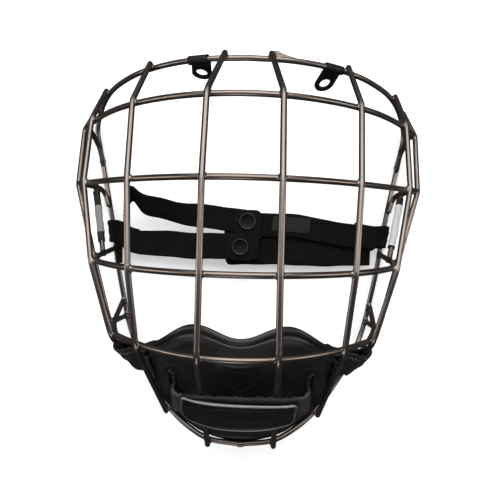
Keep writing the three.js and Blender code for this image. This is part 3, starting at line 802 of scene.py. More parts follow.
# The V-shaped shield in the middle and the pocket round each slot, as (u, v) corners.
SHIELD = [(-0.27, 0.82), (0.0, 0.83), (0.27, 0.82), (0.29, 0.75), (0.22, 0.66), (0.08, 0.575), (-0.03, 0.555),
          (-0.12, 0.61), (-0.2, 0.68)]
POCKET = [(0.5, 0.54), (0.57, 0.65), (0.65, 0.725), (0.76, 0.735), (0.87, 0.66), (0.935, 0.52), (0.95, 0.38),
          (0.88, 0.29), (0.72, 0.28), (0.56, 0.4)]

# heights of the cup's relief
BORDER, GROOVE = 0.5, 0.45            # round the cup's sides and top
SHIELD_RISE, DISH = 0.75, 0.5         # the shield and the hollow in its middle
POCKET_DROP, POCKET_EDGE, RIB, CREASE = 1.1, 0.4, 0.22, 0.35
RIB_WAY, RIB_PITCH = np.array([0.86, 0.51]), 1.6

cup_crest = spline([(0, row[0], row[1]) for row in CUP], 40)
cup_edge = spline([row[2:] for row in CUP], 40)


def along_line(line, v):
    at = np.clip(v, 0, 1) * (len(line) - 1)
    i = np.minimum(at.astype(int), len(line) - 2)
    part = (at - i)[..., None]
    return line[i] * (1 - part) + line[i + 1] * part


def cup_face(u, v):
    """Places on the cup's plain outer face: u from side to side, v from bottom to top."""
    u, v = np.broadcast_arrays(np.asarray(u, float), np.asarray(v, float))
    crest, edge, w = along_line(cup_crest, v), along_line(cup_edge, v), np.abs(u)
    lobe = CUP_LOBE * np.sin(math.pi * w) ** 2 * np.clip(v, 0, 1) ** 4
    y = crest[..., 1] + (edge[..., 1] - crest[..., 1]) * w ** 2 + lobe
    z = crest[..., 2] + (edge[..., 2] - crest[..., 2]) * w ** 2.4
    return np.stack([u * edge[..., 0], y, z], axis=-1)


def cup_normal(u, v, step=0.01):
    across = cup_face(u + step, v) - cup_face(u - step, v)
    up = cup_face(u, np.minimum(v + step, 1)) - cup_face(u, np.maximum(v - step, 0))
    normal = np.cross(across, up)
    return normal / np.linalg.norm(normal, axis=-1)[..., None]


def off_cup(u, v, out):
    return cup_face(u, v) + cup_normal(u, v) * np.asarray(out, float)[..., None]


def slot_frame(side):
    """Middle of one slot, and the directions sideways, up and out of the cup there."""
    u = side * SLOT_U
    out = cup_normal(u, SLOT_V)
    up = unit(cup_face(u, SLOT_V + 0.05) - cup_face(u, SLOT_V - 0.05))
    return cup_face(u, SLOT_V), np.cross(up, out) * side, up, out


def slot_outline(side, count, margin=0.0):
    """Points round the slot, margin outside it, on the flat that touches the cup at its middle."""
    place, sideways, up, _ = slot_frame(side)
    straight, radius = (SLOT_LENGTH - SLOT_WIDTH) / 2, SLOT_WIDTH / 2 + margin
    return np.array([place + sideways * radius * math.cos(a)
                     + up * (radius * math.sin(a) + (straight if math.sin(a) >= 0 else -straight))
                     for a in around(count)])


def to_edge(u, v, reach=1.0):
    """Millimetres to the nearest of the cup's sides, top and bottom, roughly."""
    side, top, bottom = (1 - np.abs(u) / reach) * CUP_SPAN[0], (1 - v) * CUP_SPAN[1], v * CUP_SPAN[1]
    return np.minimum(np.minimum(side, top), bottom)


def inside_of(points, corners):
    """Millimetres from flat points to a closed outline through (u, v) corners, positive inside it."""
    outline = closed_spline(np.array(corners) * CUP_SPAN)
    best, inside = np.full(points.shape[:-1], np.inf), np.zeros(points.shape[:-1], bool)
    for a, b in zip(outline, np.roll(outline, -1, axis=0)):
        edge = b - a
        t = np.clip(((points - a) @ edge) / (edge @ edge), 0, 1)
        best = np.minimum(best, np.linalg.norm(points - a - t[..., None] * edge, axis=-1))
        with np.errstate(divide="ignore", invalid="ignore"):
            x = a[0] + (points[..., 1] - a[1]) / edge[1] * edge[0]
        inside ^= ((a[1] > points[..., 1]) != (b[1] > points[..., 1])) & (points[..., 0] < x)
    return np.where(inside, best, -best)


def cup_relief(u, v):
    """Height of the cup's moulded detail over its plain face, in millimetres."""
    w = np.abs(u)
    # the border and the groove beside it; it runs out at the bottom
    rim = np.minimum((1 - w) * CUP_SPAN[0], np.minimum((1 - v) * CUP_SPAN[1], v * CUP_SPAN[1] + 1.0))
    height = BORDER * (1 - smooth_step(rim, 2.3, 3.3)) - GROOVE * hump(rim - 4.0, 0.6)
    # the raised shield, dished in the middle
    shield = inside_of(np.stack([u, v], axis=-1) * CUP_SPAN, SHIELD)
    height += SHIELD_RISE * smooth_step(shield, -1.6, 1.2) - DISH * smooth_step(shield, 2.6, 4.4)
    # the sunk pocket round each slot, its raised edge and the slanting ribs in it
    place = np.stack([w, v], axis=-1) * CUP_SPAN
    pocket = inside_of(place, POCKET)
    height += -POCKET_DROP * smooth_step(pocket, -0.3, 3.0) + POCKET_EDGE * hump(pocket + 0.7, 0.8)
    in_ribs = smooth_step(pocket, 1.5, 3.5) * (1 - smooth_step(w, 0.64, 0.7)) * smooth_step(v, 0.45, 0.52)
    height += RIB * in_ribs * np.sin(place @ RIB_WAY * 2 * math.pi / RIB_PITCH)
    # the long crease under the top edge on each side
    crease = np.abs(v - (0.9 + 0.03 * w - 0.1 * w ** 3)) * CUP_SPAN[1]
    return height + CREASE * hump(crease, 2.2) * smooth_step(w, 0.15, 0.4)


def cup_grid(columns, rows, reach=1.0):
    return np.meshgrid(np.linspace(-reach, reach, columns), np.linspace(0, 1, rows), indexing="ij")


def cut_slots(piece, sharp):
    """Cuts both slots through a layer of the cup, then shades it by angle."""
    for side in (-1, 1):
        out = slot_frame(side)[3]
        shell = Shell()
        shell.loft([slot_outline(side, 40) + out * z for z in (-3 * CUP_WALL, 3 * CUP_WALL)])
        cutter = shell.piece("cutter", [])
        modify(piece, "BOOLEAN", operation="DIFFERENCE", solver="EXACT", object=cutter)
        bpy.data.objects.remove(cutter)
    for polygon in piece.data.polygons:
        polygon.use_smooth = True
    shade_by_angle(piece, sharp)
    return piece


def cup_shell(plastic):
    u, v = cup_grid(201, 151)
    shell = Shell()
    ease = 0.7 * (1 - smooth_step(to_edge(u, v), 0, 0.9))
    slab(shell, off_cup(u, v, cup_relief(u, v) - ease), off_cup(u, v, -SHELL_WALL))
    return cut_slots(shell.piece("chin_cup_shell", [plastic]), 50)


def lower_lip():
    """A line along the cup's lower edge, moved out towards the rim wire and a little under it."""
    down = [(EDGE_U, v) for v in np.linspace(0.24, 0.02, 12)]
    across = [(u, EDGE_LOW) for u in np.linspace(0.95, -0.95, 40)]
    u, v = np.array([*down, *across, *[(-a, b) for a, b in reversed(down)]]).T
    rim = resampled(rim_half, 0.5)
    line = []
    for p, high in zip(off_cup(u, v, -TRIM_SINK), v):
        side = np.array([math.copysign(1, p[0]), 1, 1])
        near = rim[np.argmin(np.linalg.norm(rim - p * side, axis=1))] * side
        share = 1 - smooth_step(high, 0.1, 0.24)
        line.append(p + (unit(near - p) * LIP_REACH - vec(0, 0, LIP_DROP)) * share)
    return resampled(line, 1.2)


def cup_trims(gloss):
    """The rounded bead along the cup's edge, the lower lip and the raised oval round each slot."""
    shell = Shell()
    down, across = np.linspace(1, 0, 60), np.linspace(-EDGE_U, EDGE_U, 60)
    loop = [(EDGE_U, v) for v in down[1:-1]] + [(u, EDGE_LOW) for u in across[::-1]]
    loop += [(-EDGE_U, v) for v in down[::-1][1:-1]] + [(u, EDGE_HIGH) for u in across]
    u, v = np.array(loop).T
    tube(shell, resampled(off_cup(u, v, -TRIM_SINK), 1.2)[:-1], BEAD_R, sides=12, closed=True)
    tube(shell, lower_lip(), LIP_R, cap=0.9)
    for side in (-1, 1):
        place, sideways, up, _ = slot_frame(side)
        route = slot_outline(side, 64, 0.9)
        # each point drops on to the cup's face
        du, dv = (route - place) @ sideways / CUP_SPAN[0], (route - place) @ up / CUP_SPAN[1]
        for _ in range(6):
            miss = route - cup_face(side * (SLOT_U + du), SLOT_V + dv)
            du += miss @ sideways / SLOT_SPAN
            dv += miss @ up / CUP_SPAN[1]
        tube(shell, off_cup(side * (SLOT_U + du), SLOT_V + dv, -OVAL_SINK), OVAL_R, sides=10, closed=True)
    return shell.piece("chin_cup_trims", [gloss])


def cup_pad(foam):
    """The foam liner, with quilting across it and a rounded edge."""
    u, v = cup_grid(121, 91, EDGE_U)
    v = 0.012 + v * 0.976
    wall = CUP_WALL + (CUP_EDGE_WALL - CUP_WALL) * (np.abs(u) / EDGE_U) ** 4
    rim = to_edge(u, v, EDGE_U)
    rounded = np.sqrt(np.clip(1 - (1 - np.clip(rim / 3.0, 0, 1)) ** 2, 0, 1))
    quilt = 0.25 * np.sin(v * CUP_SPAN[1] * math.pi / 7) * smooth_step(rim, 3, 8)
    foam_wall = (wall - SHELL_WALL - FOAM_LEAST) * (0.35 + 0.65 * rounded)
    inner = -SHELL_WALL - FOAM_LEAST - foam_wall + np.maximum(quilt, 0)
    shell = Shell()
    slab(shell, off_cup(u, v, -SHELL_WALL - FOAM_GAP), off_cup(u, v, inner))
    return cut_slots(shell.piece("chin_cup_pad", [foam]), 60)


# ---- flat straps

GAP = 0.3
SPREAD = [-0.5, -0.25, 0, 0.25, 0.5]           # points along one stitch, in shares of its length
STITCH_RISE = [-0.14, 0.06, 0.1, 0.06, -0.14]  # their heights over the cloth
STITCH_LENGTH = 1.5
STITCH_R = 0.17


def flat_section(width, wall, columns=22):
    """Points (across, out) round a strap's section: rounded edges, with a fuller selvage."""
    half, r = width / 2, wall / 2
    a = half * np.sin(np.linspace(-math.pi / 2, math.pi / 2, columns))
    fall = np.clip((np.abs(a) - (half - r)) / r, 0, 1)
    selvage = 0.12 * hump(np.abs(a) - half + 1.5, 0.5) - 0.06
    c = r * np.sqrt(np.clip(1 - fall ** 2, 0, 1)) + selvage * (fall < 0.9)
    return np.vstack([np.stack([a, c], axis=1), np.stack([a[::-1][1:-1], -c[::-1][1:-1]], axis=1)])


class Ribbon:
    """A flat strap. Each row holds a place and the width's direction, as long as its share of the width."""

    def __init__(self, rows, per_span, spacing):
        rows = np.asarray(rows, float)
        place = spline(rows[:, :3], per_span)
        wide = read_at(np.linspace(0, len(rows) - 1, len(place)), np.arange(len(rows)), rows[:, 3:])
        out = np.cross(wide, tangents(place))
        out /= np.linalg.norm(out, axis=1)[:, None]
        run = run_along(place)
        self.run = np.linspace(0, run[-1], max(2, round(run[-1] / spacing)) + 1)
        self.place, self.wide, self.out = [read_at(self.run, run, line) for line in (place, wide, out)]

    def at(self, run, across, out):
        """A point run millimetres along, across from the middle line and out from the strap's middle."""
        place, wide, normal = [read_at(run, self.run, line) for line in (self.place, self.wide, self.out)]
        return place + wide * across + unit(normal) * out

    def sweep(self, shell, section, ripple=lambda run, across: (0, 0)):
        """The strap's closed surface. ripple(run, across) gives extra (across, out) millimetres."""
        a, c = section.T
        rings, uv, trip = [], [], run_along(section)
        for run, place, wide, out in zip(self.run, self.place, self.wide, self.out):
            shift, swell = ripple(run, a)
            rings.append(place + wide * (a + shift)[:, None] + out * (c + swell)[:, None])
            uv.append([(run, t) for t in (*trip, trip[-1] + 1)])
        shell.loft(rings, uv=uv)


def stitch_row(shell, at, start, end, pitch=2.3):
    """Thread stitches from start to end, both (run, across). at(run, across, height) gives a place."""
    start, end = np.array(start, float), np.array(end, float)
    count = max(1, int(np.linalg.norm(end - start) / pitch))
    way = unit(end - start) * STITCH_LENGTH
    for k in range(count):
        middle = start + (end - start) * (k + 0.5) / count
        stitch = [at(*(middle + way * s), h) for s, h in zip(SPREAD, STITCH_RISE)]
        tube(shell, stitch, STITCH_R, sides=6, slot=1)


def stitch_box(shell, at, low, high):
    """A box of stitches with a cross in it."""
    a, b, c, d = low, (high[0], low[1]), high, (low[0], high[1])
    for start, end in ((a, b), (b, c), (c, d), (d, a), (a, c), (b, d)):
        stitch_row(shell, at, start, end)


# ---- harness straps

STRAP_WIDTH = 14.5
STRAP_WALL = 1.4
STRAP_HEM = 1.9                # from the edge to its row of stitches
LOOP_SHARE = 0.86
LOOP_Y = -6.8
LOOP_R = WIRE_R + 2 * GAP + STRAP_WALL / 2
LOOP_END = 36                  # along the strap, where its loop's sewn end is over
SEWN_END = (16, 20, 24, 28, 32, 34.5)

# Rows of each strap: x, y, z, and the width's direction with its share of the full width.
MAIN_LEFT = [
    (-76, -9, 9.4, 0, 1, 0), (-68, -12.6, 10.4, 0, 1, 0), (-50, -12.7, 12, 0, 1.1, 0),
    (-28, -13.8, 13, 0, 1.1, 0), (-8, -13.6, 13.2, 0, 1.08, 0), (7, -13.8, 13.2, 0, 1, 0),
]
MAIN_RIGHT = [
    (76, -7.4, 9.2, 0, 1, 0), (64, -5.4, 9.6, 0, 1, 0), (50, -3.6, 10.2, 0, 1, 0),
    (30, -0.6, 11, 0, 1, 0), (12, 0, 11.3, 0, 1, 0), (-14, -0.6, 11.3, 0, 1, 0),
]
UPPER_LEFT = [
    (-72.5, -2, 18.8, 0, 0, 0.85), (-72.5, 6, 19, 0, 0.05, 0.85), (-72, 13, 19.2, 0, 0.35, 0.85),
    (-69.5, 16.6, 19, 0, 0.6, 0.8), (-62.8, 10.8, 18, 0, 0.85, 0.5), (-52.8, 8.6, 17, 0, 0.87, 0.5),
    (-42.7, 6.2, 15.6, 0, 0.87, 0.4), (-29.4, 4.7, 14.3, 0, 1, 0.1), (-19, 3.6, 13.5, 0, 1, 0),
    (-12, 2.5, 13.2, 0, 1, 0), (7, 1.4, 13.2, 0, 1, 0),
]
LOWER_RIGHT = [
    (75.5, -15.7, 6.4, 0, 1.1, 0), (60, -15.9, 7.2, 0, 1.16, 0), (40, -15.9, 8.3, 0, 1.18, 0),
    (16, -15.9, 9.1, 0, 1.18, 0), (0, -15.9, 9.3, 0, 1.18, 0), (-11.4, -15.9, 9.3, 0, 1.18, 0),
    (-13, -14.9, 9.3, 0, 1.02, 0),
]
# The free end of the left strap hangs down under its loop, folded narrow.
LOOSE_TAIL = [
    (-80.4, -6, 5.4, -0.33, 0, 0.05), (-80, -12, 6, -0.33, 0, 0.05), (-79.2, -19, 7, -0.31, 0, 0.04),
    (-78.6, -25.6, 8, -0.27, 0, 0.03),
]


def loop_rows(side):
    """Rows round the side of the rim, from the tail under it to the bend above it."""
    (x, _, z), along = crossing(rim_half, 1, LOOP_Y, lambda p: p[0] > 60)
    narrow = flipped(along * -LOOP_SHARE, side)
    rows = [(side * (x - 6), LOOP_Y, z + 0.6, 0, LOOP_SHARE, 0)]
    for angle in np.linspace(-math.pi / 2, math.pi / 2, 7):
        rows.append((side * (x + LOOP_R * math.cos(angle)), LOOP_Y, z + LOOP_R * math.sin(angle), *narrow))
    return [*rows, (side * (x - 4), LOOP_Y, z + LOOP_R, 0, LOOP_SHARE, 0)]


def bunching(run, across):
    """The loop's own creases: the webbing rides up a little where it turns round the wire."""
    ease = 1 - smooth_step(run, 14, 34)
    lift = 1.8 * hump(run - 16, 8) * (across > 0)
    wave = 0.14 * ease * np.sin(across * 1.1 + run * 0.35) + 0.08 * ease * np.sin(across * 2.3 - run * 0.6)
    return lift * (across / (STRAP_WIDTH / 2)), wave


def slow_wave(seed, looped=False, size=1.0):
    """Gentle unevenness of a strap that has been worn and folded."""
    draw = random.Random(seed)
    phases = [draw.uniform(0, 2 * math.pi) for _ in range(6)]

    def ripple(run, across):
        out = 0.16 * np.sin(run * 0.11 + phases[0]) * (across / 7) + 0.12 * np.sin(run * 0.23 + phases[1])
        out = out + 0.1 * np.sin(across * 0.55 + phases[2]) * math.sin(run * 0.17 + phases[3])
        side = 0.22 * math.sin(run * 0.13 + phases[4]) + 0.12 * math.sin(run * 0.31 + phases[5])
        more = bunching(run, across) if looped else (0, 0)
        return size * side + more[0], size * out + more[1]

    return ripple


def harness_strap(name, rows, materials, seed, looped, tail):
    shell = Shell()
    ribbon = Ribbon(rows, 10, 0.9)
    ribbon.sweep(shell, flat_section(STRAP_WIDTH, STRAP_WALL), slow_wave(seed, looped))

    def on_face(run, across, height):
        return ribbon.at(run, across, STRAP_WALL / 2 + height + 0.06)

    if looped:
        # the box of stitches that closes the loop, and the sewn-down end beside it
        stitch_box(shell, on_face, (19, -4.6), (28.5, 4.6))
        end = [(*ribbon.at(run, 1.3, STRAP_WALL * 0.95), 0, np.interp(run, ribbon.run, ribbon.wide[:, 1]), 0)
               for run in SEWN_END]
        Ribbon(end, 6, 0.9).sweep(shell, flat_section(STRAP_WIDTH * 0.97, STRAP_WALL * 0.7))
    if tail:
        Ribbon(tail, 6, 0.9).sweep(shell, flat_section(STRAP_WIDTH, STRAP_WALL))
    for hem in (STRAP_HEM - STRAP_WIDTH / 2, STRAP_WIDTH / 2 - STRAP_HEM):
        stitch_row(shell, on_face, (LOOP_END if looped else 4, hem), (ribbon.run[-1] - 16, hem), pitch=2.6)
    return shell.piece(name, materials), ribbon


# ---- snaps, their sewn tabs and the blank patch

SNAP_Z = 13.2 + STRAP_WALL / 2 + GAP
# name, x, y, the tab's corners round it (x, y) and the radius of each corner
SNAPS = [
    ("snap_upper", 0, 1.9,
     [(-7.5, 8.6), (-8.0, -5.6), (-2.6, -7.4), (5.6, -7.4), (8.0, -5.0), (8.2, 7.6), (5.0, 8.9)],
     [1.5, 1.2, 1.0, 2.0, 2.0, 2.0, 1.0]),
    ("snap_lower", -4, -13.6,
     [(-11.6, -6.4), (-12.2, -19.4), (-9.0, -22.0), (2.6, -22.4), (4.6, -20.2), (4.4, -8.2), (2.4, -6.2)],
     [1.5, 1.5, 2.0, 2.0, 1.5, 1.5, 1.0]),
]
# r, z and the material of the surface that leads to it, from the middle of the dish outwards
SNAP_PROFILE = [
    (0.02, 0.9, 0), (1.2, 0.9, 0), (2.4, 0.94, 0), (3.3, 1.1, 0), (3.9, 1.42, 0),
    (4.25, 1.85, 0), (4.45, 2.2, 1), (4.62, 2.3, 1), (4.8, 2.2, 1), (4.9, 1.85, 1), (4.97, 1.1, 0),
    (5.15, 0.5, 0), (5.5, 0.2, 0), (5.55, -0.1, 0), (0.02, -0.1, 0),
]
# the tab's steps and the patch's: how far in from the outline, and the height
TAB_STEPS = [(0.2, -0.1), (0, 0.1), (0.1, 0.32), (0.4, 0.44), (1.0, 0.46)]
PATCH_STEPS = [(0.05, -0.1), (0, 0.0), (0.1, 0.1), (0.3, 0.13)]
PATCH = [(15.6, 5.6), (38.6, 4.2), (37.6, -4.6), (14.6, -3.6)]


def snap_piece(name, x, y, corners, radii, materials):
    shell, tab = Shell(), Shell()
    shell.loft([[(x + r * math.cos(a), y + r * math.sin(a), SNAP_Z + z) for a in around(56)]
                for r, z, _ in SNAP_PROFILE], slot=[slot for _, _, slot in SNAP_PROFILE[1:]])
    plate(tab, fine_outline(rounded_outline(corners, radii), 1.2), TAB_STEPS,
          lambda px, py, h: vec(px, py, SNAP_Z - GAP - 0.1 + h))
    return shell.piece(name, materials[:2]), tab.piece(name + "_tab", materials[2:])


def patch_piece(ribbon, material):
    """A thin printed patch with nothing on it, laid on the strap's face."""
    shell = Shell()
    line = ribbon.place[np.argsort(ribbon.place[:, 0])]

    def at(x, y, h):
        return vec(x, y, np.interp(x, line[:, 0], line[:, 2]) + STRAP_WALL / 2 + 0.18 + h)

    plate(shell, fine_outline(rounded_outline(PATCH, [0.6] * 4, 4), 1.0), PATCH_STEPS, at)
    return shell.piece("strap_patch", [material])


# ---- front strap and nameplate

CHIN_SLOPE = vec(0, 0.611, 0.792)
CHIN_OUT = vec(0, -0.792, 0.611)
CHIN_STRAP_WIDTH = 19.0
CHIN_STRAP_RISE = 5.2
CHIN_STRAP_WALL = 1.5
SLOT_DROP, SLOT_SHARE = 3.4, 0.72   # the strap lies in the lower part of the slot, a little bunched
STRAP_IN_SLOT = [(-3.6, -7.4), (-1.6, -6.6), (-1.0, -4.9), (-1.1, -1.2), (-1.7, 0.4), (-3.1, 1.7)]
STRAP_AT_PLATE = [(29.5, -1.6, -9), (26, 0, -2.8), (20.5, 0, -0.3), (15, 0, 0)]
FRAY_PITCH, FRAY_REACH, FRAY_R = 0.42, 40, 0.1   # along the edges, x where the fraying ends, thread's radius
PLATE_MIDDLE = vec(0, -91.2, 105)
PLATE_WALL = 2.2
# The plate's outline on its own slope: x, and height along the slope.
PLATE_OUTLINE = [
    (-26.8, 14.6), (-25.2, 16.4), (-21.5, 15.2), (-17, 14.2), (-9, 13.2), (0, 12.6), (9, 12.4), (17, 12.4),
    (22, 12.4), (26.0, 12.4), (27.3, 10.8), (27.2, 3), (27.0, -5.4), (25.6, -9.4), (19, -14.2), (13, -16.9),
    (6.4, -18.2), (-3.4, -18.4), (-12.4, -16.6), (-19, -13.2), (-24.6, -9.2), (-27.2, -4.0), (-27.8, 3.0),
]
# Steps of the plate from its back: inset, height over its face, material; and of the low bar on it.
PLATE_STEPS = [
    (0.5, -2.2, 0), (0.0, -1.8, 0), (0.0, -0.7, 0), (0.12, -0.25, 1), (0.42, 0, 1), (0.85, 0, 1),
    (1.12, -0.25, 1), (1.3, -0.6, 0), (1.7, -0.72, 0), (2.4, -0.72, 0),
]
BAR_STEPS = [(0.1, -1.0), (0, -0.74), (0.25, -0.62), (0.8, -0.58)]
BAR = [(-19.5, 6.5), (-18.5, -6.4), (-9, -8.9), (9, -8.9), (18.6, -6.6), (20.5, 6.2)]


def front_strap_rows():
    behind = PLATE_WALL / 2 + GAP + CHIN_STRAP_WALL / 2
    front = CHIN_SLOPE * CHIN_STRAP_RISE - CHIN_OUT * behind + PLATE_MIDDLE
    halves = []
    for side, layer in ((-1, 1), (1, 0)):
        place, sideways, up, out = slot_frame(side)
        place, narrow = place - up * SLOT_DROP, up * SLOT_SHARE
        deep = CUP_WALL + 6 * GAP + CHIN_STRAP_WALL / 2 + layer * (CHIN_STRAP_WALL + GAP)
        rows = [(*off_cup(side * u, SLOT_V, -deep), *up) for u in (-0.2, 0.1, 0.35, 0.55)]
        rows += [(*(place + sideways * s + out * o), *narrow) for s, o in STRAP_IN_SLOT]
        rows += [(*(front + vec(side * x, y, z)), *CHIN_SLOPE) for x, y, z in STRAP_AT_PLATE]
        halves.append(rows)
    return [*halves[0], *reversed(halves[1])]


def front_strap_piece(materials):
    shell = Shell()
    ribbon = Ribbon(front_strap_rows(), 10, 0.8)
    ribbon.sweep(shell, flat_section(CHIN_STRAP_WIDTH, CHIN_STRAP_WALL, 26), slow_wave(11, size=0.8))
    draw = random.Random(5)
    for run in np.arange(0, ribbon.run[-1], FRAY_PITCH):
        if abs(ribbon.at(run, 0, 0)[0]) >= FRAY_REACH:
            continue
        for edge in (-1, -1, 1, 1):
            at = run + draw.uniform(-0.3, 0.3)
            lift = draw.uniform(-0.45, 0.85)
            reach = draw.uniform(0.25, 0.95)
            lean = draw.uniform(-0.5, 0.5)
            root = ribbon.at(at, edge * (CHIN_STRAP_WIDTH / 2 - 0.3), lift)
            tip = ribbon.at(at + lean, edge * (CHIN_STRAP_WIDTH / 2 + reach), lift + draw.uniform(-0.3, 0.5))
            middle = (root + tip) / 2 + CHIN_OUT * draw.uniform(-0.1, 0.1)
            tube(shell, [root, middle, tip], FRAY_R, sides=4, slot=1)
    return shell.piece("front_strap", materials)


def plate_piece(materials):
    shell = Shell()

    def at(x, s, h):
        bow = (1.1 if x > 0 else 2.2) * abs(x / 28) ** 3
        return PLATE_MIDDLE + vec(x, 0, 0) + CHIN_SLOPE * s + CHIN_OUT * (PLATE_WALL / 2 + h - bow)

    plate(shell, closed_spline(PLATE_OUTLINE[::-1]), [step[:2] for step in PLATE_STEPS], at,
          [slot for _, _, slot in PLATE_STEPS], (0.92, 0.8, 0.65, 0.5, 0.35, 0.2, 0.08))
    # a low moulded bar along the plate, where nothing is printed
    bar = fine_outline(rounded_outline(BAR, [2.5] * 6), 1.5)[::-1]
    plate(shell, bar, BAR_STEPS, at, shrink=(0.85, 0.6, 0.35, 0.12))
    return shell.piece("nameplate", materials)


# ---- side wraps

WRAP_WIDTH = 21.6              # of the cloth, apart from where it spreads
WRAP_SPREAD = 6.0              # how much further up its half in front of the wires reaches
WRAP_FLAT = 24.0               # its mean width, laid flat
WRAP_WALL = 1.5
WRAP_V = 0.7                   # how far up the cup's edge it is fixed
WRAP_R = WIRE_R + 1.1
WRAP_FRONT = 2.5 * GAP + 1.0   # off the cup's face, where the cloth starts and where it ends
WRAP_BEHIND = -CUP_EDGE_WALL - 11 * GAP - 1.0
# the pale zigzag stitches along the cloth's upper edge
ZIGZAG_ROW, ZIGZAG_HALF, ZIGZAG_PITCH, ZIGZAG_RISE, ZIGZAG_R = 8.0, 0.9, 1.1, 0.12, 0.24


def wrap_rows(side):
    """Rows from the cup's face round the outer upright and back behind the cup's edge."""
    low, high = [crossing(upright_halves["outer"], 2, z, lambda p: p[1] < -50)[0] for z in (50, 64)]
    middle, up = (low + high) / 2, unit(high - low)
    edge_up = unit(cup_face(1, WRAP_V + 0.05) - cup_face(1, WRAP_V - 0.05))
    inwards = cup_face(1, WRAP_V) - middle
    inwards = unit(inwards - up * np.dot(inwards, up))
    out_face = np.cross(inwards, up)

    def on_cup(u, out):
        return [*flipped(off_cup(u, WRAP_V, out), side), *flipped(edge_up, side)]

    def on_leg(out, inward, twist=0.0):
        across = unit(up * (1 - twist) + edge_up * twist)
        return [*flipped(middle + out_face * out + inwards * inward, side), *flipped(across, side)]

    rows = [on_cup(u, WRAP_FRONT) for u in (0.95, 0.98, 1)] + [on_leg(WRAP_R, 8, 0.4), on_leg(WRAP_R, 2)]
    for angle in np.linspace(math.pi / 2, 3 * math.pi / 2, 7):
        rows.append(on_leg(WRAP_R * math.sin(angle), WRAP_R * math.cos(angle)))
    rows += [on_leg(-WRAP_R, 2), on_leg(-WRAP_R, 8, 0.4)]
    return rows + [on_cup(u, WRAP_BEHIND) for u in (0.98, 0.91)]


def wrap_piece(name, side, materials, seed):
    draw = random.Random(seed)
    waves = [(draw.uniform(0.25, 1.1), draw.uniform(0.3, 1.3), draw.uniform(0, 6.3), draw.uniform(0.15, 0.42))
             for _ in range(9)]
    shell = Shell()
    ribbon = Ribbon(wrap_rows(side), 8, 0.7)
    length = ribbon.run[-1]

    def ripple(run, across):
        out = sum(size * np.sin(run * p + across * q + turn) for p, q, turn, size in waves)
        spread = smooth_step(run, length * 0.5, length * 0.66) * np.clip(across / (WRAP_WIDTH / 2), 0, 1)
        pinch = 0.55 * np.sin(run * 0.33 + seed) * (across / 12)
        pinch = pinch + 0.4 * np.sin(run * 0.9) * np.sign(across) * (np.abs(across) > 11)
        return 0.7 * pinch + WRAP_SPREAD * spread, np.clip(out, -0.6, 0.45) * 0.7

    ribbon.sweep(shell, flat_section(WRAP_WIDTH, WRAP_WALL, 40), ripple)
    zigzag = []
    for k, run in enumerate(np.arange(length * 0.52, length - 2, ZIGZAG_PITCH)):
        across = ZIGZAG_ROW + (ZIGZAG_HALF if k % 2 else -ZIGZAG_HALF)
        shift, swell = ripple(run, across)
        zigzag.append(ribbon.at(run, across + shift, swell + side * (WRAP_WALL / 2 + ZIGZAG_RISE)))
    tube(shell, zigzag, ZIGZAG_R, sides=6, slot=1)
    return shell.piece(name, materials), (WRAP_FLAT, length)


# ---- side labels

LABEL_LENGTH = 35.0
LABEL_FLAG = 7.0
LABEL_WALL = 0.5
LABEL_PLACE = 0.46             # its middle's share of the way down the wire


def label_rows(side):
    """Rows down one flag, round the side wire and down the other flag."""
    top, bottom = LABEL_WIRE
    along = unit(bottom - top)
    hang = vec(0.2, 0, -1)
    hang = unit(hang - along * np.dot(hang, along))
    out = np.cross(along, hang)
    r = WIRE_R + 0.15 + LABEL_WALL / 2
    slit = LABEL_WALL / 2 + 0.1
    spots = [(r + LABEL_FLAG, slit), (r + 1.5, slit + 0.2)]
    spots += [(r * math.cos(a), r * math.sin(a)) for a in np.linspace(0.35 * math.pi, 1.65 * math.pi, 9)]
    spots += [(r + 1.5, -slit - 0.2), (r + LABEL_FLAG, -slit)]
    middle = top + (bottom - top) * LABEL_PLACE
    places = [middle + hang * down + out * away for down, away in spots]
    return [[*flipped(place, side), *flipped(along, side)] for place in places]


def label_piece(name, side, materials, shares):
    """A folded vinyl strip: its two ends are black and the blank field between them is pale."""
    ribbon = Ribbon(label_rows(side), 6, 0.6)
    a = np.linspace(-LABEL_LENGTH / 2, LABEL_LENGTH / 2, 46)

    def lay(sign):
        rows = []
        for run, place, wide, out in zip(ribbon.run, ribbon.place, ribbon.wide, ribbon.out):
            wave = 0.22 * np.sin(a * 0.42 + run * 0.25) + 0.1 * np.sin(a * 1.1 + 2)
            rows.append(place + wide * a[:, None] + out * (wave * 0.6 + sign * LABEL_WALL / 2 * 0.8)[:, None])
        return np.array(rows)

    shell = Shell()
    slab(shell, lay(1), lay(-1))
    for k, face in enumerate(shell.faces):
        column = np.mean([corner % len(a) for corner in face]) / (len(a) - 1)
        shell.slots[k] = int(shares[0] < column < shares[1])
    piece = shell.piece(name, materials)
    shade_by_angle(piece, 50)
    return piece, (LABEL_LENGTH, ribbon.run[-1])


# ---- the object

def add(piece, body, slot, *replaced):
    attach(piece, body)
    if replaced:
        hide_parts(*replaced)
    return piece


def add_sheet(made, slot, replaced):
    """A sheet of cloth or vinyl that is folded round the wires; made is the piece and its flat size, and the
    flat size is not used.
    """
    piece, (width, length) = made
    add(piece, CAGE, slot, replaced)


add_camera()
add_lights()
add_floor()

metal = wire_metal()
add(wires_piece(metal), CAGE, "wire", "wire_cage")
add(welds_piece(metal), CAGE, "wire")

coat = clip_coat()
for name, body, side, x, tilt, lean in CLIPS:
    add(clip_piece(name + "_strip", side, x, tilt, lean, coat), body, "clip", name)

add(cup_shell(cup_plastic("cup_plastic", 0.36, 0.5, 0.04)), CAGE, "cup", "chin_cup")
add(cup_trims(cup_plastic("cup_gloss", 0.25, 0.42, 0.15)), CAGE, "cup")
pad = add(cup_pad(foam_liner()), CAGE, "cup", "chin_cup")

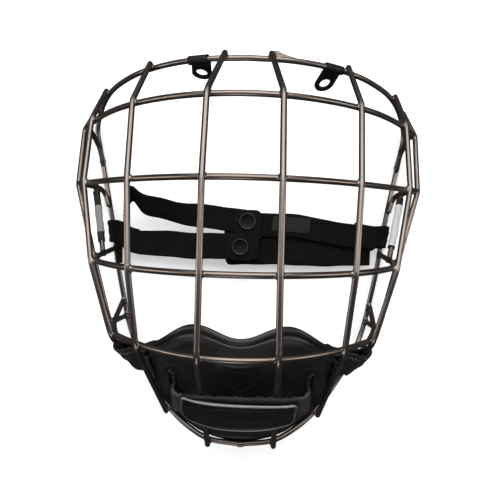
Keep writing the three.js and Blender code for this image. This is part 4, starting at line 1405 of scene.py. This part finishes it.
web = webbing("webbing", (0.0022, 0.0022, 0.0024), (0.0075, 0.0075, 0.008), 0.75)
thread = sewing_thread()
straps = [
    ("strap_left_lower", loop_rows(-1) + MAIN_LEFT, True, LOOSE_TAIL),
    ("strap_right_upper", loop_rows(1) + MAIN_RIGHT, True, None),
    ("strap_left_upper", UPPER_LEFT, False, None), ("strap_right_lower", LOWER_RIGHT, False, None),
]
ribbons = {}
for seed, (name, rows, looped, tail) in enumerate(straps, 1):
    piece, ribbons[name] = harness_strap(name + "_webbing", rows, [web, thread], seed, looped, tail)
    add(piece, CAGE, "webbing", name)

# the ring is ten times lighter than the cap: partly its own worn rim, partly a painted highlight along its
# crest
ring = gloss_black("snap_ring", 0.3, (0.03, 0.03, 0.031))
cap = gloss_black("snap_cap", 0.5, (0.003, 0.003, 0.0033), 0.16)
tab_cloth = webbing("tab_webbing", (0.0026, 0.0026, 0.0028), (0.0085, 0.0085, 0.009), 0.75)
for name, x, y, corners, radii in SNAPS:
    snap, tab = snap_piece(name + "_cap", x, y, corners, radii, [cap, ring, tab_cloth, thread])
    add(snap, CAGE, "snap", name)
    add(tab, CAGE, "webbing")
blank = vinyl("blank_patch", (0.003, 0.003, 0.0033), (0.006, 0.006, 0.0064), 0.75)
add(patch_piece(ribbons["strap_right_upper"], blank), CAGE, "label")

hook = webbing("hook_webbing", (0.011, 0.011, 0.0115), (0.05, 0.049, 0.048), 0.7)
fray = vinyl("frayed_thread", (0.05, 0.048, 0.046), (0.26, 0.25, 0.24), 0.8)
add(front_strap_piece([hook, fray]), CAGE, "hook_webbing", "front_strap")
add(plate_piece([gloss_black("plate_gloss", 0.16), worn_silver()]), CAGE, "plate", "nameplate")

cloth = cloth_black()
pale_thread = vinyl("pale_thread", (0.06, 0.06, 0.062), (0.24, 0.24, 0.245), 0.7)
for name, side, seed in (("wrap_left", -1, 21), ("wrap_right", 1, 34)):
    add_sheet(wrap_piece(name + "_cloth", side, [cloth, pale_thread], seed), "wrap", name)

dark = vinyl("label_black", (0.003, 0.0026, 0.0025), (0.0075, 0.007, 0.0066), 0.7)
pale = vinyl("label_pale", (0.24, 0.235, 0.23), (0.36, 0.35, 0.34), 0.5)
white = vinyl("label_white", (0.6, 0.6, 0.59), (0.85, 0.85, 0.84), 0.4)
add_sheet(label_piece("label_left_vinyl", -1, [dark, pale], (0.3, 0.84)), "label", "label_left")
add_sheet(label_piece("label_right_vinyl", 1, [dark, white], (0.16, 0.97)), "label", "label_right")
